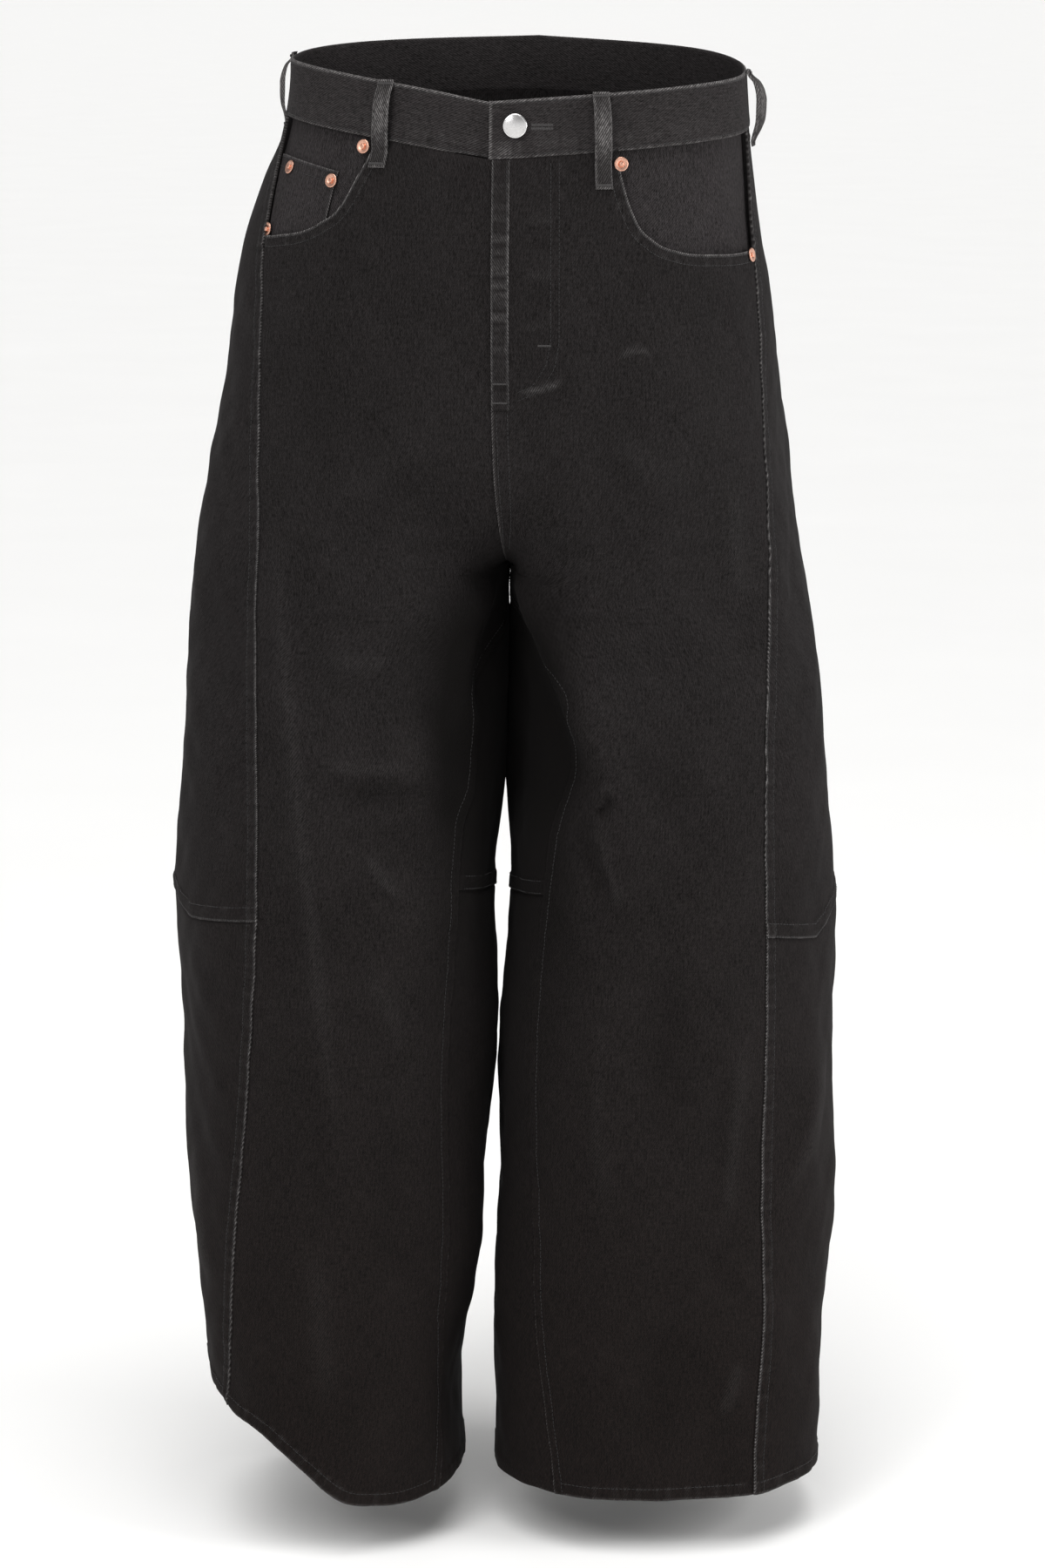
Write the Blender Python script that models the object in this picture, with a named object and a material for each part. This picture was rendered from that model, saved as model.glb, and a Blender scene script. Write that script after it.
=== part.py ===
"""Barrel-leg jeans in the hollow form they keep when worn, with nobody in them.

Metres, +Z up. The front faces -Y and the wearer's left side is +X.
The origin is the middle of the waist, at half the waistband's height at the centre front.

Each half of the garment is one smooth form, reached by two numbers:
  around   0 at the centre front (below the crotch: the inner side of the leg),
           0.5 at the outer side, 1 at the centre back (below the crotch: the inner side again)
  height   z, in metres
Every panel is a stretch of that form between its seams.
"""
import math

import bpy
import numpy as np

# ---------------------------------------------------------------- driving sizes, in metres

CLOTH = 0.0016                # wall of one panel
SEAM_GAP = 0.0003             # clear space between neighbouring pieces

BAND_HEIGHT = 0.041           # waistband
BAND_THICKNESS = 0.0030
BAND_PROUD = 0.0009           # how far its face stands out from the panels
TAB_PAST_CENTRE = 0.002       # the buttoned end, past the centre front
TAB_OVERLAP = 0.045           # the under end, behind the buttoned one
HALF_WAIST = 0.470            # round one side of the waist, from centre front to centre back

CROTCH_HEIGHT = -0.325
CROTCH_RISE_FRONT = 0.090     # height over which the front seam turns in under the body
CROTCH_RISE_BACK = 0.140
LEG_PARTS_BELOW = 0.260       # how far below the crotch the faces begin to open into one body
SEAM_REACH = 0.13             # share of the way round that the crotch seam pulls in
HEM_HEIGHT = -1.027

LOOP_WIDTH = 0.012            # belt loops
LOOP_THICKNESS = 0.0014
LOOP_STAND = 0.0062           # clear space behind a loop's middle

POCKET_CLOTH = 0.0012         # coin pocket and facings
LAYER_GAP = 0.0007            # clear space between the front panel and each layer behind it
FACING_MARGIN = 0.016         # how far a facing runs on below the pocket's mouth

FLY_WIDTH = 0.0130
FLY_THICKNESS = 0.0011

BUTTON_RADIUS = 0.0087
RIVET_RADIUS = 0.0051

# ---------------------------------------------------------------- colours, linear RGB

DENIM = (0.030, 0.027, 0.028)
WORN_DENIM = (0.060, 0.053, 0.054)
STEEL = (0.62, 0.61, 0.60)
COPPER = (0.62, 0.27, 0.17)


# ---------------------------------------------------------------- tables

class Table:
    """Named columns over a key column, joined by a smooth curve through the rows."""

    def __init__(self, columns, rows):
        data = np.array(sorted(rows), dtype=float)
        self.columns = columns.split()[1:]
        self.key = data[:, 0]
        self.values = data[:, 1:]
        self.slopes = np.gradient(self.values, self.key, axis=0)

    def at(self, key):
        key = np.clip(np.asarray(key, dtype=float), self.key[0], self.key[-1])
        low = np.clip(np.searchsorted(self.key, key) - 1, 0, len(self.key) - 2)
        span = self.key[low + 1] - self.key[low]
        t = ((key - self.key[low]) / span)[..., None]
        span = span[..., None]
        start = (1 + 2 * t) * (1 - t) ** 2 * self.values[low]
        start = start + t * (1 - t) ** 2 * span * self.slopes[low]
        end = t ** 2 * (3 - 2 * t) * self.values[low + 1]
        end = end + t ** 2 * (t - 1) * span * self.slopes[low + 1]
        blended = start + end
        return {name: blended[..., i] for i, name in enumerate(self.columns)}


# The middle line between the two halves, and how far each level is turned about it.
SPINE = Table("height centre turn", [
    (0.070, 0.000, -8.6),
    (0.000, 0.000, -8.4),
    (-0.100, -0.001, -8.0),
    (-0.180, -0.002, -7.4),
    (-0.256, -0.003, -5.8),
    (-0.325, -0.005, -3.4),
    (-0.445, -0.008, -0.8),
    (-0.574, -0.0105, 0.0),
    (-0.740, -0.0168, 0.0),
    (-0.881, -0.0240, 0.0),
    (-0.960, -0.0295, 0.0),
    (-1.047, -0.0285, 0.0),
])

# Half widths and depths of each level, from that middle line.
# outer, inner: x of the two sides of the leg. front, back: y of its two faces. widest: y of its sides.
# bow: how square the corners are, 2 is an ellipse, for the outer and the inner side.
SECTION_COLUMNS = "height outer inner front back widest outer_bow inner_bow"

SECTIONS = {
    "left": Table(SECTION_COLUMNS, [
        (0.070, 0.1660, 0.0005, -0.116, 0.112, 0.004, 2.25, 2.3),
        (0.020, 0.1685, 0.0005, -0.119, 0.116, 0.004, 2.25, 2.3),
        (-0.020, 0.1720, 0.0005, -0.121, 0.122, 0.004, 2.25, 2.3),
        (-0.060, 0.1775, 0.0005, -0.124, 0.131, 0.006, 2.30, 2.3),
        (-0.120, 0.1875, 0.0005, -0.128, 0.143, 0.008, 2.35, 2.3),
        (-0.200, 0.1980, 0.0005, -0.132, 0.150, 0.010, 2.40, 2.6),
        (-0.285, 0.2130, 0.0006, -0.134, 0.146, 0.010, 2.40, 2.9),
        (-0.338, 0.2240, 0.0007, -0.135, 0.140, 0.008, 2.40, 3.0),
        (-0.404, 0.2360, 0.0008, -0.136, 0.137, 0.006, 2.30, 3.0),
        (-0.485, 0.2460, 0.0012, -0.136, 0.134, 0.004, 2.10, 2.9),
        (-0.574, 0.2535, 0.0038, -0.135, 0.131, 0.002, 1.95, 2.7),
        (-0.670, 0.2580, 0.0022, -0.133, 0.126, 0.000, 1.95, 2.6),
        (-0.747, 0.2610, 0.0027, -0.131, 0.121, -0.002, 2.05, 2.6),
        (-0.881, 0.2650, 0.0058, -0.129, 0.111, -0.006, 2.30, 2.6),
        (-0.960, 0.2665, 0.0116, -0.128, 0.104, -0.009, 2.45, 2.5),
        (-1.047, 0.2610, 0.0119, -0.128, 0.097, -0.012, 2.60, 2.4),
    ]),
    "right": Table(SECTION_COLUMNS, [
        (0.070, 0.1660, 0.0005, -0.116, 0.112, 0.004, 2.25, 2.3),
        (0.020, 0.1680, 0.0005, -0.119, 0.116, 0.004, 2.25, 2.3),
        (-0.010, 0.1740, 0.0005, -0.121, 0.121, 0.004, 2.25, 2.3),
        (-0.040, 0.1875, 0.0005, -0.123, 0.128, 0.006, 2.30, 2.3),
        (-0.070, 0.1975, 0.0005, -0.125, 0.135, 0.008, 2.35, 2.3),
        (-0.128, 0.2095, 0.0005, -0.128, 0.144, 0.009, 2.35, 2.4),
        (-0.200, 0.2210, 0.0005, -0.132, 0.150, 0.010, 2.40, 2.6),
        (-0.285, 0.2330, 0.0006, -0.134, 0.146, 0.010, 2.40, 2.9),
        (-0.338, 0.2385, 0.0007, -0.135, 0.140, 0.008, 2.40, 3.1),
        (-0.404, 0.2435, 0.0008, -0.136, 0.137, 0.006, 2.25, 3.1),
        (-0.485, 0.2490, 0.0010, -0.136, 0.134, 0.004, 2.05, 3.0),
        (-0.574, 0.2505, 0.0045, -0.135, 0.131, 0.002, 1.90, 2.8),
        (-0.670, 0.2460, 0.0022, -0.133, 0.126, 0.000, 1.90, 2.6),
        (-0.747, 0.2395, 0.0028, -0.131, 0.121, -0.002, 1.95, 2.6),
        (-0.881, 0.2240, 0.0062, -0.130, 0.111, -0.006, 2.10, 2.6),
        (-0.960, 0.2080, 0.0130, -0.131, 0.104, -0.009, 2.30, 2.5),
        (-1.047, 0.2000, 0.0113, -0.132, 0.097, -0.012, 2.50, 2.4),
    ]),
}

# x of the seams that show on the front of each leg.
SEAM_COLUMNS = "height outer_seam inner_seam"
SEAMS = {
    "left": Table(SEAM_COLUMNS, [
        (0.000, 0.1670, 0.040),
        (-0.080, 0.1715, 0.040),
        (-0.172, 0.1810, 0.040),
        (-0.261, 0.1847, 0.040),
        (-0.416, 0.1841, 0.0385),
        (-0.502, 0.1842, 0.0290),
        (-0.600, 0.1860, 0.0172),
        (-0.745, 0.1852, 0.0131),
        (-0.882, 0.1850, 0.0152),
        (-0.950, 0.1815, 0.0225),
        (-1.040, 0.1796, 0.0313),
    ]),
    "right": Table(SEAM_COLUMNS, [
        (0.010, -0.1670, -0.030),
        (-0.064, -0.1805, -0.030),
        (-0.159, -0.1874, -0.030),
        (-0.287, -0.1885, -0.030),
        (-0.416, -0.1889, -0.0330),
        (-0.470, -0.1893, -0.0310),
        (-0.518, -0.1896, -0.0404),
        (-0.610, -0.1920, -0.0470),
        (-0.745, -0.2045, -0.0509),
        (-0.882, -0.2140, -0.0527),
        (-0.950, -0.2185, -0.0545),
        (-1.040, -0.2250, -0.0620),
    ]),
}
INSEAM_SHOWS_BELOW = -0.420       # above this the inner seam runs back to the crotch

# Height of the seam behind the knee at the outer side, the front outer seam and the front inner seam.
KNEE_SEAM = {
    "left": {"side": -0.578, "outer_seam": -0.604, "inner_seam": -0.560},
    "right": {"side": -0.576, "outer_seam": -0.588, "inner_seam": -0.556},
}

# Mouth of each front pocket: x on the front and height, from the waistband to the side seam.
POCKET_MOUTH = {
    "left": Table("x height", [
        (0.0735, -0.0100),
        (0.0745, -0.0250),
        (0.0770, -0.0415),
        (0.0828, -0.0632),
        (0.0942, -0.0789),
        (0.1101, -0.0869),
        (0.1358, -0.0905),
        (0.1596, -0.0906),
        (0.1760, -0.0878),
    ]),
    "right": Table("x height", [
        (-0.1085, 0.0000),
        (-0.1110, -0.0130),
        (-0.1171, -0.0330),
        (-0.1237, -0.0529),
        (-0.1386, -0.0696),
        (-0.1596, -0.0782),
        (-0.1803, -0.0752),
        (-0.1860, -0.0667),
    ]),
}
POCKET_CORNER = {"left": 0.0740, "right": -0.1095}

# Upper edge of the coin pocket, on the wearer's right, from its inner corner to the side seam.
COIN_INNER_X = -0.1290
COIN_TOP = {"inner": -0.0330, "outer": -0.0235}

# Height of the waistband's lower edge, from the centre front (0) by the side (0.5) to the back (1).
WAIST_LINE = {
    "left": Table("around height", [
        (0.00, -0.0220),
        (0.15, -0.0165),
        (0.30, -0.0110),
        (0.50, -0.0045),
        (0.75, 0.0105),
        (1.00, 0.0190),
    ]),
    "right": Table("around height", [
        (0.00, -0.0220),
        (0.14, -0.0095),
        (0.30, 0.0010),
        (0.50, 0.0070),
        (0.75, 0.0150),
        (1.00, 0.0190),
    ]),
}

# How far the hem is turned up, from the inner side (0) by the outer side (0.5) to the inner side (1).
HEM_RISE = {
    "left": Table("around rise", [(0.0, 0.0), (0.5, 0.0), (1.0, 0.0)]),
    "right": Table("around rise", [
        (0.000, 0.000),
        (0.100, -0.001),
        (0.200, -0.005),
        (0.245, 0.000),
        (0.300, 0.029),
        (0.340, 0.050),
        (0.383, 0.060),
        (0.430, 0.069),
        (0.500, 0.076),
        (0.600, 0.060),
        (0.720, 0.022),
        (0.820, 0.000),
        (1.000, 0.000),
    ]),
}

# The largest folds, on the front or the back of a leg: where each starts and ends (x, z), how wide it is,
# how far it stands out (or, when negative, sinks in), and whether one side stays out like a step.
FOLD_COLUMNS = ("leg", "face", "start", "end", "width", "depth", "step")
FOLDS = [dict(zip(FOLD_COLUMNS, row)) for row in (
    ("left", "front", (0.000, -0.325), (0.062, -0.505), 0.020, 0.016, True),
    ("left", "front", (0.062, -0.500), (0.066, -0.600), 0.016, -0.006, False),
    ("left", "front", (0.166, -0.250), (0.158, -0.420), 0.018, -0.004, False),
    ("left", "front", (0.160, -0.690), (0.150, -0.900), 0.020, -0.005, False),
    ("right", "front", (-0.182, -0.290), (-0.160, -0.580), 0.020, 0.005, False),
    ("right", "front", (-0.158, -0.580), (-0.132, -0.820), 0.020, 0.005, False),
    ("right", "front", (-0.155, -0.515), (-0.060, -0.530), 0.020, -0.005, False),
    ("right", "front", (-0.085, -0.560), (-0.045, -0.480), 0.018, -0.005, False),
    ("left", "back", (0.030, -0.335), (0.120, -0.430), 0.022, -0.007, False),
    ("right", "back", (-0.030, -0.335), (-0.125, -0.420), 0.022, -0.007, False),
    ("left", "back", (0.050, -0.500), (0.150, -0.545), 0.024, -0.006, False),
    ("right", "back", (-0.060, -0.520), (-0.165, -0.490), 0.024, -0.006, False),
    ("left", "back", (0.170, -0.640), (0.140, -0.880), 0.024, 0.006, False),
    ("right", "back", (-0.120, -0.650), (-0.150, -0.900), 0.024, 0.006, False),
)]

FOLD_FADE = 0.060                 # folds die out over this depth, towards the sides of the leg

SIGN = {"left": 1.0, "right": -1.0}


# ---------------------------------------------------------------- the form

def ease(t):
    """Smooth step from 0 to 1."""
    t = np.clip(t, 0.0, 1.0)
    return t * t * (3 - 2 * t)


def bowed(angle, bow):
    """Unit figure between an ellipse (bow 2) and a square: cosine and sine parts."""
    c = np.cos(angle)
    s = np.sin(angle)
    reach = (np.abs(c) ** bow + np.abs(s) ** bow) ** (-1.0 / bow)
    return c * reach, s * reach


def form(side, around, height):
    """Points of the smooth form, before its folds."""
    around, height = np.broadcast_arrays(np.asarray(around, float), np.asarray(height, float))
    row = SECTIONS[side].at(height)
    spine = SPINE.at(height)
    below = height < CROTCH_HEIGHT
    around = np.where((around > 1) & below, around - 1, around)
    angle = math.pi * (1 - 2 * around)
    in_front = np.sin(angle) > 0
    depth = np.where(in_front, row["widest"] - row["front"], row["back"] - row["widest"])

    leg_bow = np.where(np.cos(angle) > 0, row["outer_bow"], row["inner_bow"])
    across, along = bowed(angle, leg_bow)
    leg_x = (row["outer"] + row["inner"]) / 2 + (row["outer"] - row["inner"]) / 2 * across
    leg_y = row["widest"] - depth * along

    across, along = bowed(angle / 2, row["outer_bow"])
    body_depth = np.where(around < 0.5, row["widest"] - row["front"], row["back"] - row["widest"])
    body_x = row["outer"] * across
    body_y = row["widest"] - body_depth * along

    rise = np.where(around < 0.5, CROTCH_RISE_FRONT, CROTCH_RISE_BACK)
    climb = np.clip((height - CROTCH_HEIGHT) / rise, 0.0, 1.0)
    at_seam = np.sqrt(1 - (1 - climb) ** 2)
    opening = (height - CROTCH_HEIGHT + LEG_PARTS_BELOW) / (LEG_PARTS_BELOW + CROTCH_RISE_BACK)
    from_seam = ease(np.minimum(around, np.abs(1 - around)) / SEAM_REACH)
    body = at_seam + (np.maximum(ease(opening), at_seam) - at_seam) * from_seam
    x = np.maximum(leg_x * (1 - body) + body_x * body, SEAM_GAP / 2) * SIGN[side]
    y = leg_y * (1 - body) + body_y * body

    turn = np.radians(spine["turn"])
    turned_x = x * np.cos(turn) - y * np.sin(turn) + spine["centre"]
    turned_y = x * np.sin(turn) + y * np.cos(turn)
    return np.stack([turned_x, turned_y, height], axis=-1)


def outward(side, around, height):
    """Unit normals of the smooth form, pointing out of the garment."""
    step = 0.0005
    along = form(side, around + step, height) - form(side, around - step, height)
    up = form(side, around, height + step) - form(side, around, height - step)
    normal = np.cross(along, up) * SIGN[side]
    return normal / np.linalg.norm(normal, axis=-1, keepdims=True)


def fold_depth(side, points):
    """How far the folds move each point out."""
    total = np.zeros(points.shape[:-1])
    facing = {"front": ease(-points[..., 1] / FOLD_FADE), "back": ease(points[..., 1] / FOLD_FADE)}
    flat = points[..., [0, 2]]
    for fold in FOLDS:
        if fold["leg"] != side:
            continue
        start = np.array(fold["start"])
        run = np.array(fold["end"]) - start
        length = np.linalg.norm(run)
        run = run / length
        offset = flat - start
        travelled = offset @ run / length
        aside = offset @ np.array([-run[1], run[0]])
        taper = ease(travelled / 0.25) * ease((1 - travelled) / 0.25)
        if fold["step"]:
            shape = -ease(0.5 - aside * SIGN[side] / (2 * fold["width"]))
            fade = np.exp(-((np.minimum(aside * SIGN[side], 0) / (4.0 * fold["width"])) ** 2))
            shape = shape * fade
        else:
            shape = np.exp(-((aside / fold["width"]) ** 2))
        total = total + fold["depth"] * shape * taper * facing[fold["face"]]
    return total


def surface(side, around, height, lift=0.0):
    """Points of the garment's face, moved out by lift."""
    around, height = np.broadcast_arrays(np.asarray(around, float), np.asarray(height, float))
    points = form(side, around, height)
    normal = outward(side, around, height)
    moved = fold_depth(side, points) + lift
    return points + normal * moved[..., None]


def around_at_x(side, height, x, low, high):
    """The place around the form, between low and high, where its face has this x."""
    height = np.asarray(height, float)
    low = np.full(height.shape, low)
    high = np.full(height.shape, high)
    for _ in range(26):
        middle = (low + high) / 2
        short = (form(side, middle, height)[..., 0] - x) * SIGN[side] < 0
        low = np.where(short, middle, low)
        high = np.where(short, high, middle)
    return (low + high) / 2


def length_around(side, first, last, height):
    """Length of the form's face between two places at one height."""
    points = form(side, np.linspace(first, last, 40), height)
    return float(np.linalg.norm(np.diff(points, axis=0), axis=1).sum())


def outer_seam(side, height):
    return around_at_x(side, height, SEAMS[side].at(height)["outer_seam"], 0.25, 0.52)


def inner_seam(side, height):
    """0 down to the crotch, then round to the front of the leg."""
    seen = np.minimum(height, INSEAM_SHOWS_BELOW)
    shown = around_at_x(side, seen, SEAMS[side].at(seen)["inner_seam"], 0.0, 0.25)
    fall = (CROTCH_HEIGHT - height) / (CROTCH_HEIGHT - INSEAM_SHOWS_BELOW)
    return shown * ease(fall)


# ---------------------------------------------------------------- level lines

def waist_line(side, around):
    """Height of the waistband's lower edge."""
    return WAIST_LINE[side].at(np.abs(around))["height"]


def knee_line(side, around):
    """Height of the seam behind the knee, carried on across the front panel."""
    knee = KNEE_SEAM[side]
    wrapped = np.mod(around, 1.0)
    keys = np.array([0.0, 0.13, 0.42, 0.5, 0.75, 1.0])
    heights = np.array([knee["side"], knee["inner_seam"], knee["outer_seam"], knee["side"],
                        knee["side"] + 0.004, knee["side"]])
    return np.interp(wrapped, keys, heights)


def hem_line(side, around):
    """Height of the hem. The wearer's right one is turned up in a slant at its outer corner."""
    return HEM_HEIGHT + HEM_RISE[side].at(np.mod(around, 1.0))["rise"]


# ---------------------------------------------------------------- building solids

def material(name, colour, roughness, metallic=0.0):
    made = bpy.data.materials.new(name)
    made.use_nodes = True
    shader = made.node_tree.nodes["Principled BSDF"]
    shader.inputs["Base Color"].default_value = (*colour, 1.0)
    shader.inputs["Roughness"].default_value = roughness
    shader.inputs["Metallic"].default_value = metallic
    made.diffuse_color = (*colour, 1.0)
    return made


def add_object(name, vertices, faces, finish):
    mesh = bpy.data.meshes.new(name)
    mesh.from_pydata([tuple(v) for v in vertices], [], faces)
    mesh.materials.append(finish)
    mesh.validate()
    mesh.shade_smooth()
    mesh.set_sharp_from_angle(angle=math.radians(40))
    made = bpy.data.objects.new(name, mesh)
    bpy.context.scene.collection.objects.link(made)
    return made


def wall(name, outer, inner, finish, flip=False):
    """Closed solid between two grids of points with the same rows and columns."""
    rows, columns = outer.shape[:2]
    vertices = np.concatenate([outer.reshape(-1, 3), inner.reshape(-1, 3)])
    inside = rows * columns

    def cell(row, column):
        return row * columns + column

    faces = []
    for row in range(rows - 1):
        for column in range(columns - 1):
            a = cell(row, column)
            b = cell(row, column + 1)
            c = cell(row + 1, column + 1)
            d = cell(row + 1, column)
            faces.append((a, b, c, d))
            faces.append((inside + d, inside + c, inside + b, inside + a))
    edge = [cell(0, column) for column in range(columns)]
    edge += [cell(row, columns - 1) for row in range(1, rows)]
    edge += [cell(rows - 1, column) for column in range(columns - 2, -1, -1)]
    edge += [cell(row, 0) for row in range(rows - 2, 0, -1)]
    for start, end in zip(edge, edge[1:] + edge[:1]):
        faces.append((end, start, inside + start, inside + end))
    if flip:
        faces = [face[::-1] for face in faces]
    return add_object(name, vertices, faces, finish)


def solve_grid(place, level, rows, columns, first_guess):
    """Around and height of each grid point, where seams and level lines depend on each other."""
    down, across = np.meshgrid(rows, columns, indexing="ij")
    height = np.full(down.shape, first_guess)
    for _ in range(8):
        around = place(height, across)
        height = level(around, down)
    return around, height


def panel(name, side, place, level, rows, columns, finish, lift=0.0, thickness=CLOTH):
    around, height = solve_grid(place, level, rows, columns, -0.5)
    outer = surface(side, around, height, lift)
    inner = surface(side, around, height, lift - thickness)
    return wall(name, outer, inner, finish, flip=side == "left")


def seam_inset(side, around, height):
    """Half a seam gap, as a step around the form."""
    step = 0.001
    chord = form(side, around + step, height) - form(side, around - step, height)
    return SEAM_GAP / 2 * 2 * step / np.linalg.norm(chord, axis=-1)


# Rows: 0 at the top edge, 1 at the crotch, 2 at the knee seam, 3 at the hem.
# The back panel has three more above, from -1 at the waistband to 0 at the lower end of the pocket's mouth.
WAIST_ROWS = 1 - (1 - np.linspace(0, 1, 12)) ** 1.45
THIGH_ROWS = 1 + np.linspace(0, 1, 10) ** 1.25
SHIN_ROWS = 2 + np.linspace(0, 1, 10)
FLY_ROWS = 6                      # rows of the front panel that the fly's strip covers
BACK_COLUMNS = np.linspace(0, 1, 19)


def between_lines(down, top, crotch, knee, hem):
    """Height for each row number, between the four level lines."""
    return np.where(down <= 1, top + (crotch - top) * down,
                    np.where(down <= 2, crotch + (knee - crotch) * (down - 1),
                             knee + (hem - knee) * (down - 2)))


def top_edge(side, around):
    return waist_line(side, around) - SEAM_GAP


def pocket_edge(side, around):
    """Top of the front panel: the waistband, or the pocket's mouth where that is lower."""
    waist = top_edge(side, around)
    x = form(side, around, np.full(around.shape, -0.05))[..., 0]
    past_corner = (x - POCKET_CORNER[side]) * SIGN[side] > 0
    return np.where(past_corner, np.minimum(waist, POCKET_MOUTH[side].at(x)["height"]), waist)


def front_grid(side):
    """Around and height of the front panel's points. Its first stretch is as wide as the fly's strip."""
    def place(height, across):
        first = inner_seam(side, height)
        last = outer_seam(side, height)
        first = first + seam_inset(side, first, height) * (height < CROTCH_HEIGHT)
        last = last - seam_inset(side, last, height)
        return first + (last - first) * across

    def level(around, down):
        top = pocket_edge(side, around)
        return between_lines(down, top, CROTCH_HEIGHT, knee_line(side, around), hem_line(side, around))

    top = np.array(float(top_edge(side, np.array(0.0))))
    outer_end = float(outer_seam(side, top))
    half_waist = length_around(side, 0.0, outer_end, float(top))
    fly_edge = FLY_WIDTH / half_waist
    corner = float(around_at_x(side, top, POCKET_CORNER[side], 0.0, 0.5)) / outer_end
    rows = np.concatenate([WAIST_ROWS, THIGH_ROWS[1:], SHIN_ROWS[1:]])
    plain = np.linspace(fly_edge, corner, 6)
    mouth = corner + (1 - corner) * np.array([0.025, 0.08, 0.16, 0.28, 0.46, 0.64, 0.82, 1.0])
    return solve_grid(place, level, rows, np.concatenate([[0.0], plain, mouth]), -0.5)


def front_panel(side, finish):
    around, height = front_grid(side)
    outer = surface(side, around, height)
    inner = surface(side, around, height, -CLOTH)
    return wall(f"front_panel_{side}", outer, inner, finish, flip=side == "left")


def back_columns(side, height, across):
    first = outer_seam(side, height)
    last = 1 + inner_seam(side, height)
    first = first + seam_inset(side, first, height)
    last = last - seam_inset(side, last, height) * (height < CROTCH_HEIGHT)
    return first + (last - first) * across


def back_upper(side, finish):
    def place(height, across):
        return back_columns(side, height, across)

    def level(around, down):
        lower = between_lines(down, mouth_end, CROTCH_HEIGHT, knee_line(side, around) + SEAM_GAP / 2, HEM_HEIGHT)
        return np.where(down < 0, mouth_end - (top_edge(side, around) - mouth_end) * down, lower)

    front_edge = front_grid(side)
    mouth_end = float(front_edge[1][0, -1])
    rows = np.concatenate([[-1.0, -0.72, -0.40], WAIST_ROWS, THIGH_ROWS[1:]])
    return panel(f"back_upper_{side}", side, place, level, rows, BACK_COLUMNS, finish)


def back_lower(side, finish):
    def place(height, across):
        return back_columns(side, height, across)

    def level(around, down):
        return between_lines(down, 0.0, CROTCH_HEIGHT, knee_line(side, around) - SEAM_GAP / 2,
                             hem_line(side, around))

    return panel(f"back_lower_{side}", side, place, level, SHIN_ROWS, BACK_COLUMNS, finish)


# ---------------------------------------------------------------- pockets

COIN_LIFT = -(CLOTH + LAYER_GAP)
FACING_LIFT = COIN_LIFT - POCKET_CLOTH - LAYER_GAP
FACING_UNDER_FRONT = 0.016        # how far the facing runs on behind the front panel, as a share around
FACING_UNDER_BACK = 0.014         # and behind the back panel
COIN_COLUMN = 2                   # the facing's column and row where the coin pocket starts
COIN_ROW = 2


def facing_grid(side):
    """Around and height of the facing's points. A row and a column of them follow the coin pocket."""
    corner = float(around_at_x(side, np.array(-0.03), POCKET_CORNER[side], 0.0, 0.5))
    coin_edge = float(around_at_x(side, np.array(-0.03), COIN_INNER_X * -SIGN[side], 0.0, 0.5))

    def place(height, across):
        last = outer_seam(side, height)
        last = last - 2 * seam_inset(side, last, height)
        start = np.where(across < COIN_COLUMN, corner - FACING_UNDER_FRONT, coin_edge)
        end = np.where(across < COIN_COLUMN, coin_edge, last)
        share = np.where(across < COIN_COLUMN, across / COIN_COLUMN, (across - COIN_COLUMN) / 6)
        inside = start + (end - start) * share
        return np.where(across > 8.5, last + FACING_UNDER_BACK, inside)

    def level(around, down):
        x = form(side, around, np.full(around.shape, -0.05))[..., 0]
        outward_share = np.clip((x * SIGN[side] + COIN_INNER_X) / 0.045, -0.2, 1.2)
        coin_line = COIN_TOP["inner"] + (COIN_TOP["outer"] - COIN_TOP["inner"]) * outward_share
        bottom = np.minimum(POCKET_MOUTH[side].at(x)["height"], -0.050) - FACING_MARGIN
        top = top_edge(side, around)
        upper = top + (coin_line - top) * down / COIN_ROW
        return np.where(down < COIN_ROW, upper, coin_line + (bottom - coin_line) * (down - COIN_ROW) / 4)

    return solve_grid(place, level, np.arange(7), np.arange(10), -0.04)


def pocket_facing(side, finish):
    """The cloth seen in the pocket's mouth, behind the front panel and the side seam."""
    around, height = facing_grid(side)
    outer = surface(side, around, height, FACING_LIFT)
    inner = surface(side, around, height, FACING_LIFT - POCKET_CLOTH)
    return wall(f"pocket_facing_{side}", outer, inner, finish, flip=side == "left")


def coin_pocket(finish):
    """Small pocket on the facing of the wearer's right side, its lower edge behind the front panel."""
    around, height = facing_grid("right")
    around = around[COIN_ROW:, COIN_COLUMN:-1]
    height = height[COIN_ROW:, COIN_COLUMN:-1]
    outer = surface("right", around, height, COIN_LIFT)
    inner = surface("right", around, height, COIN_LIFT - POCKET_CLOTH)
    return wall("coin_pocket", outer, inner, finish)


# ---------------------------------------------------------------- waistband and fly

def across_front(side, around, lift, height_share):
    """Band point near the centre front, where the under end runs on past it."""
    height = float(waist_line(side, np.array(abs(around)))) + BAND_HEIGHT * height_share
    if around >= 0:
        return surface(side, around, height, lift)
    other = "left" if side == "right" else "right"
    return surface(other, -around, height, lift)


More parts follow.
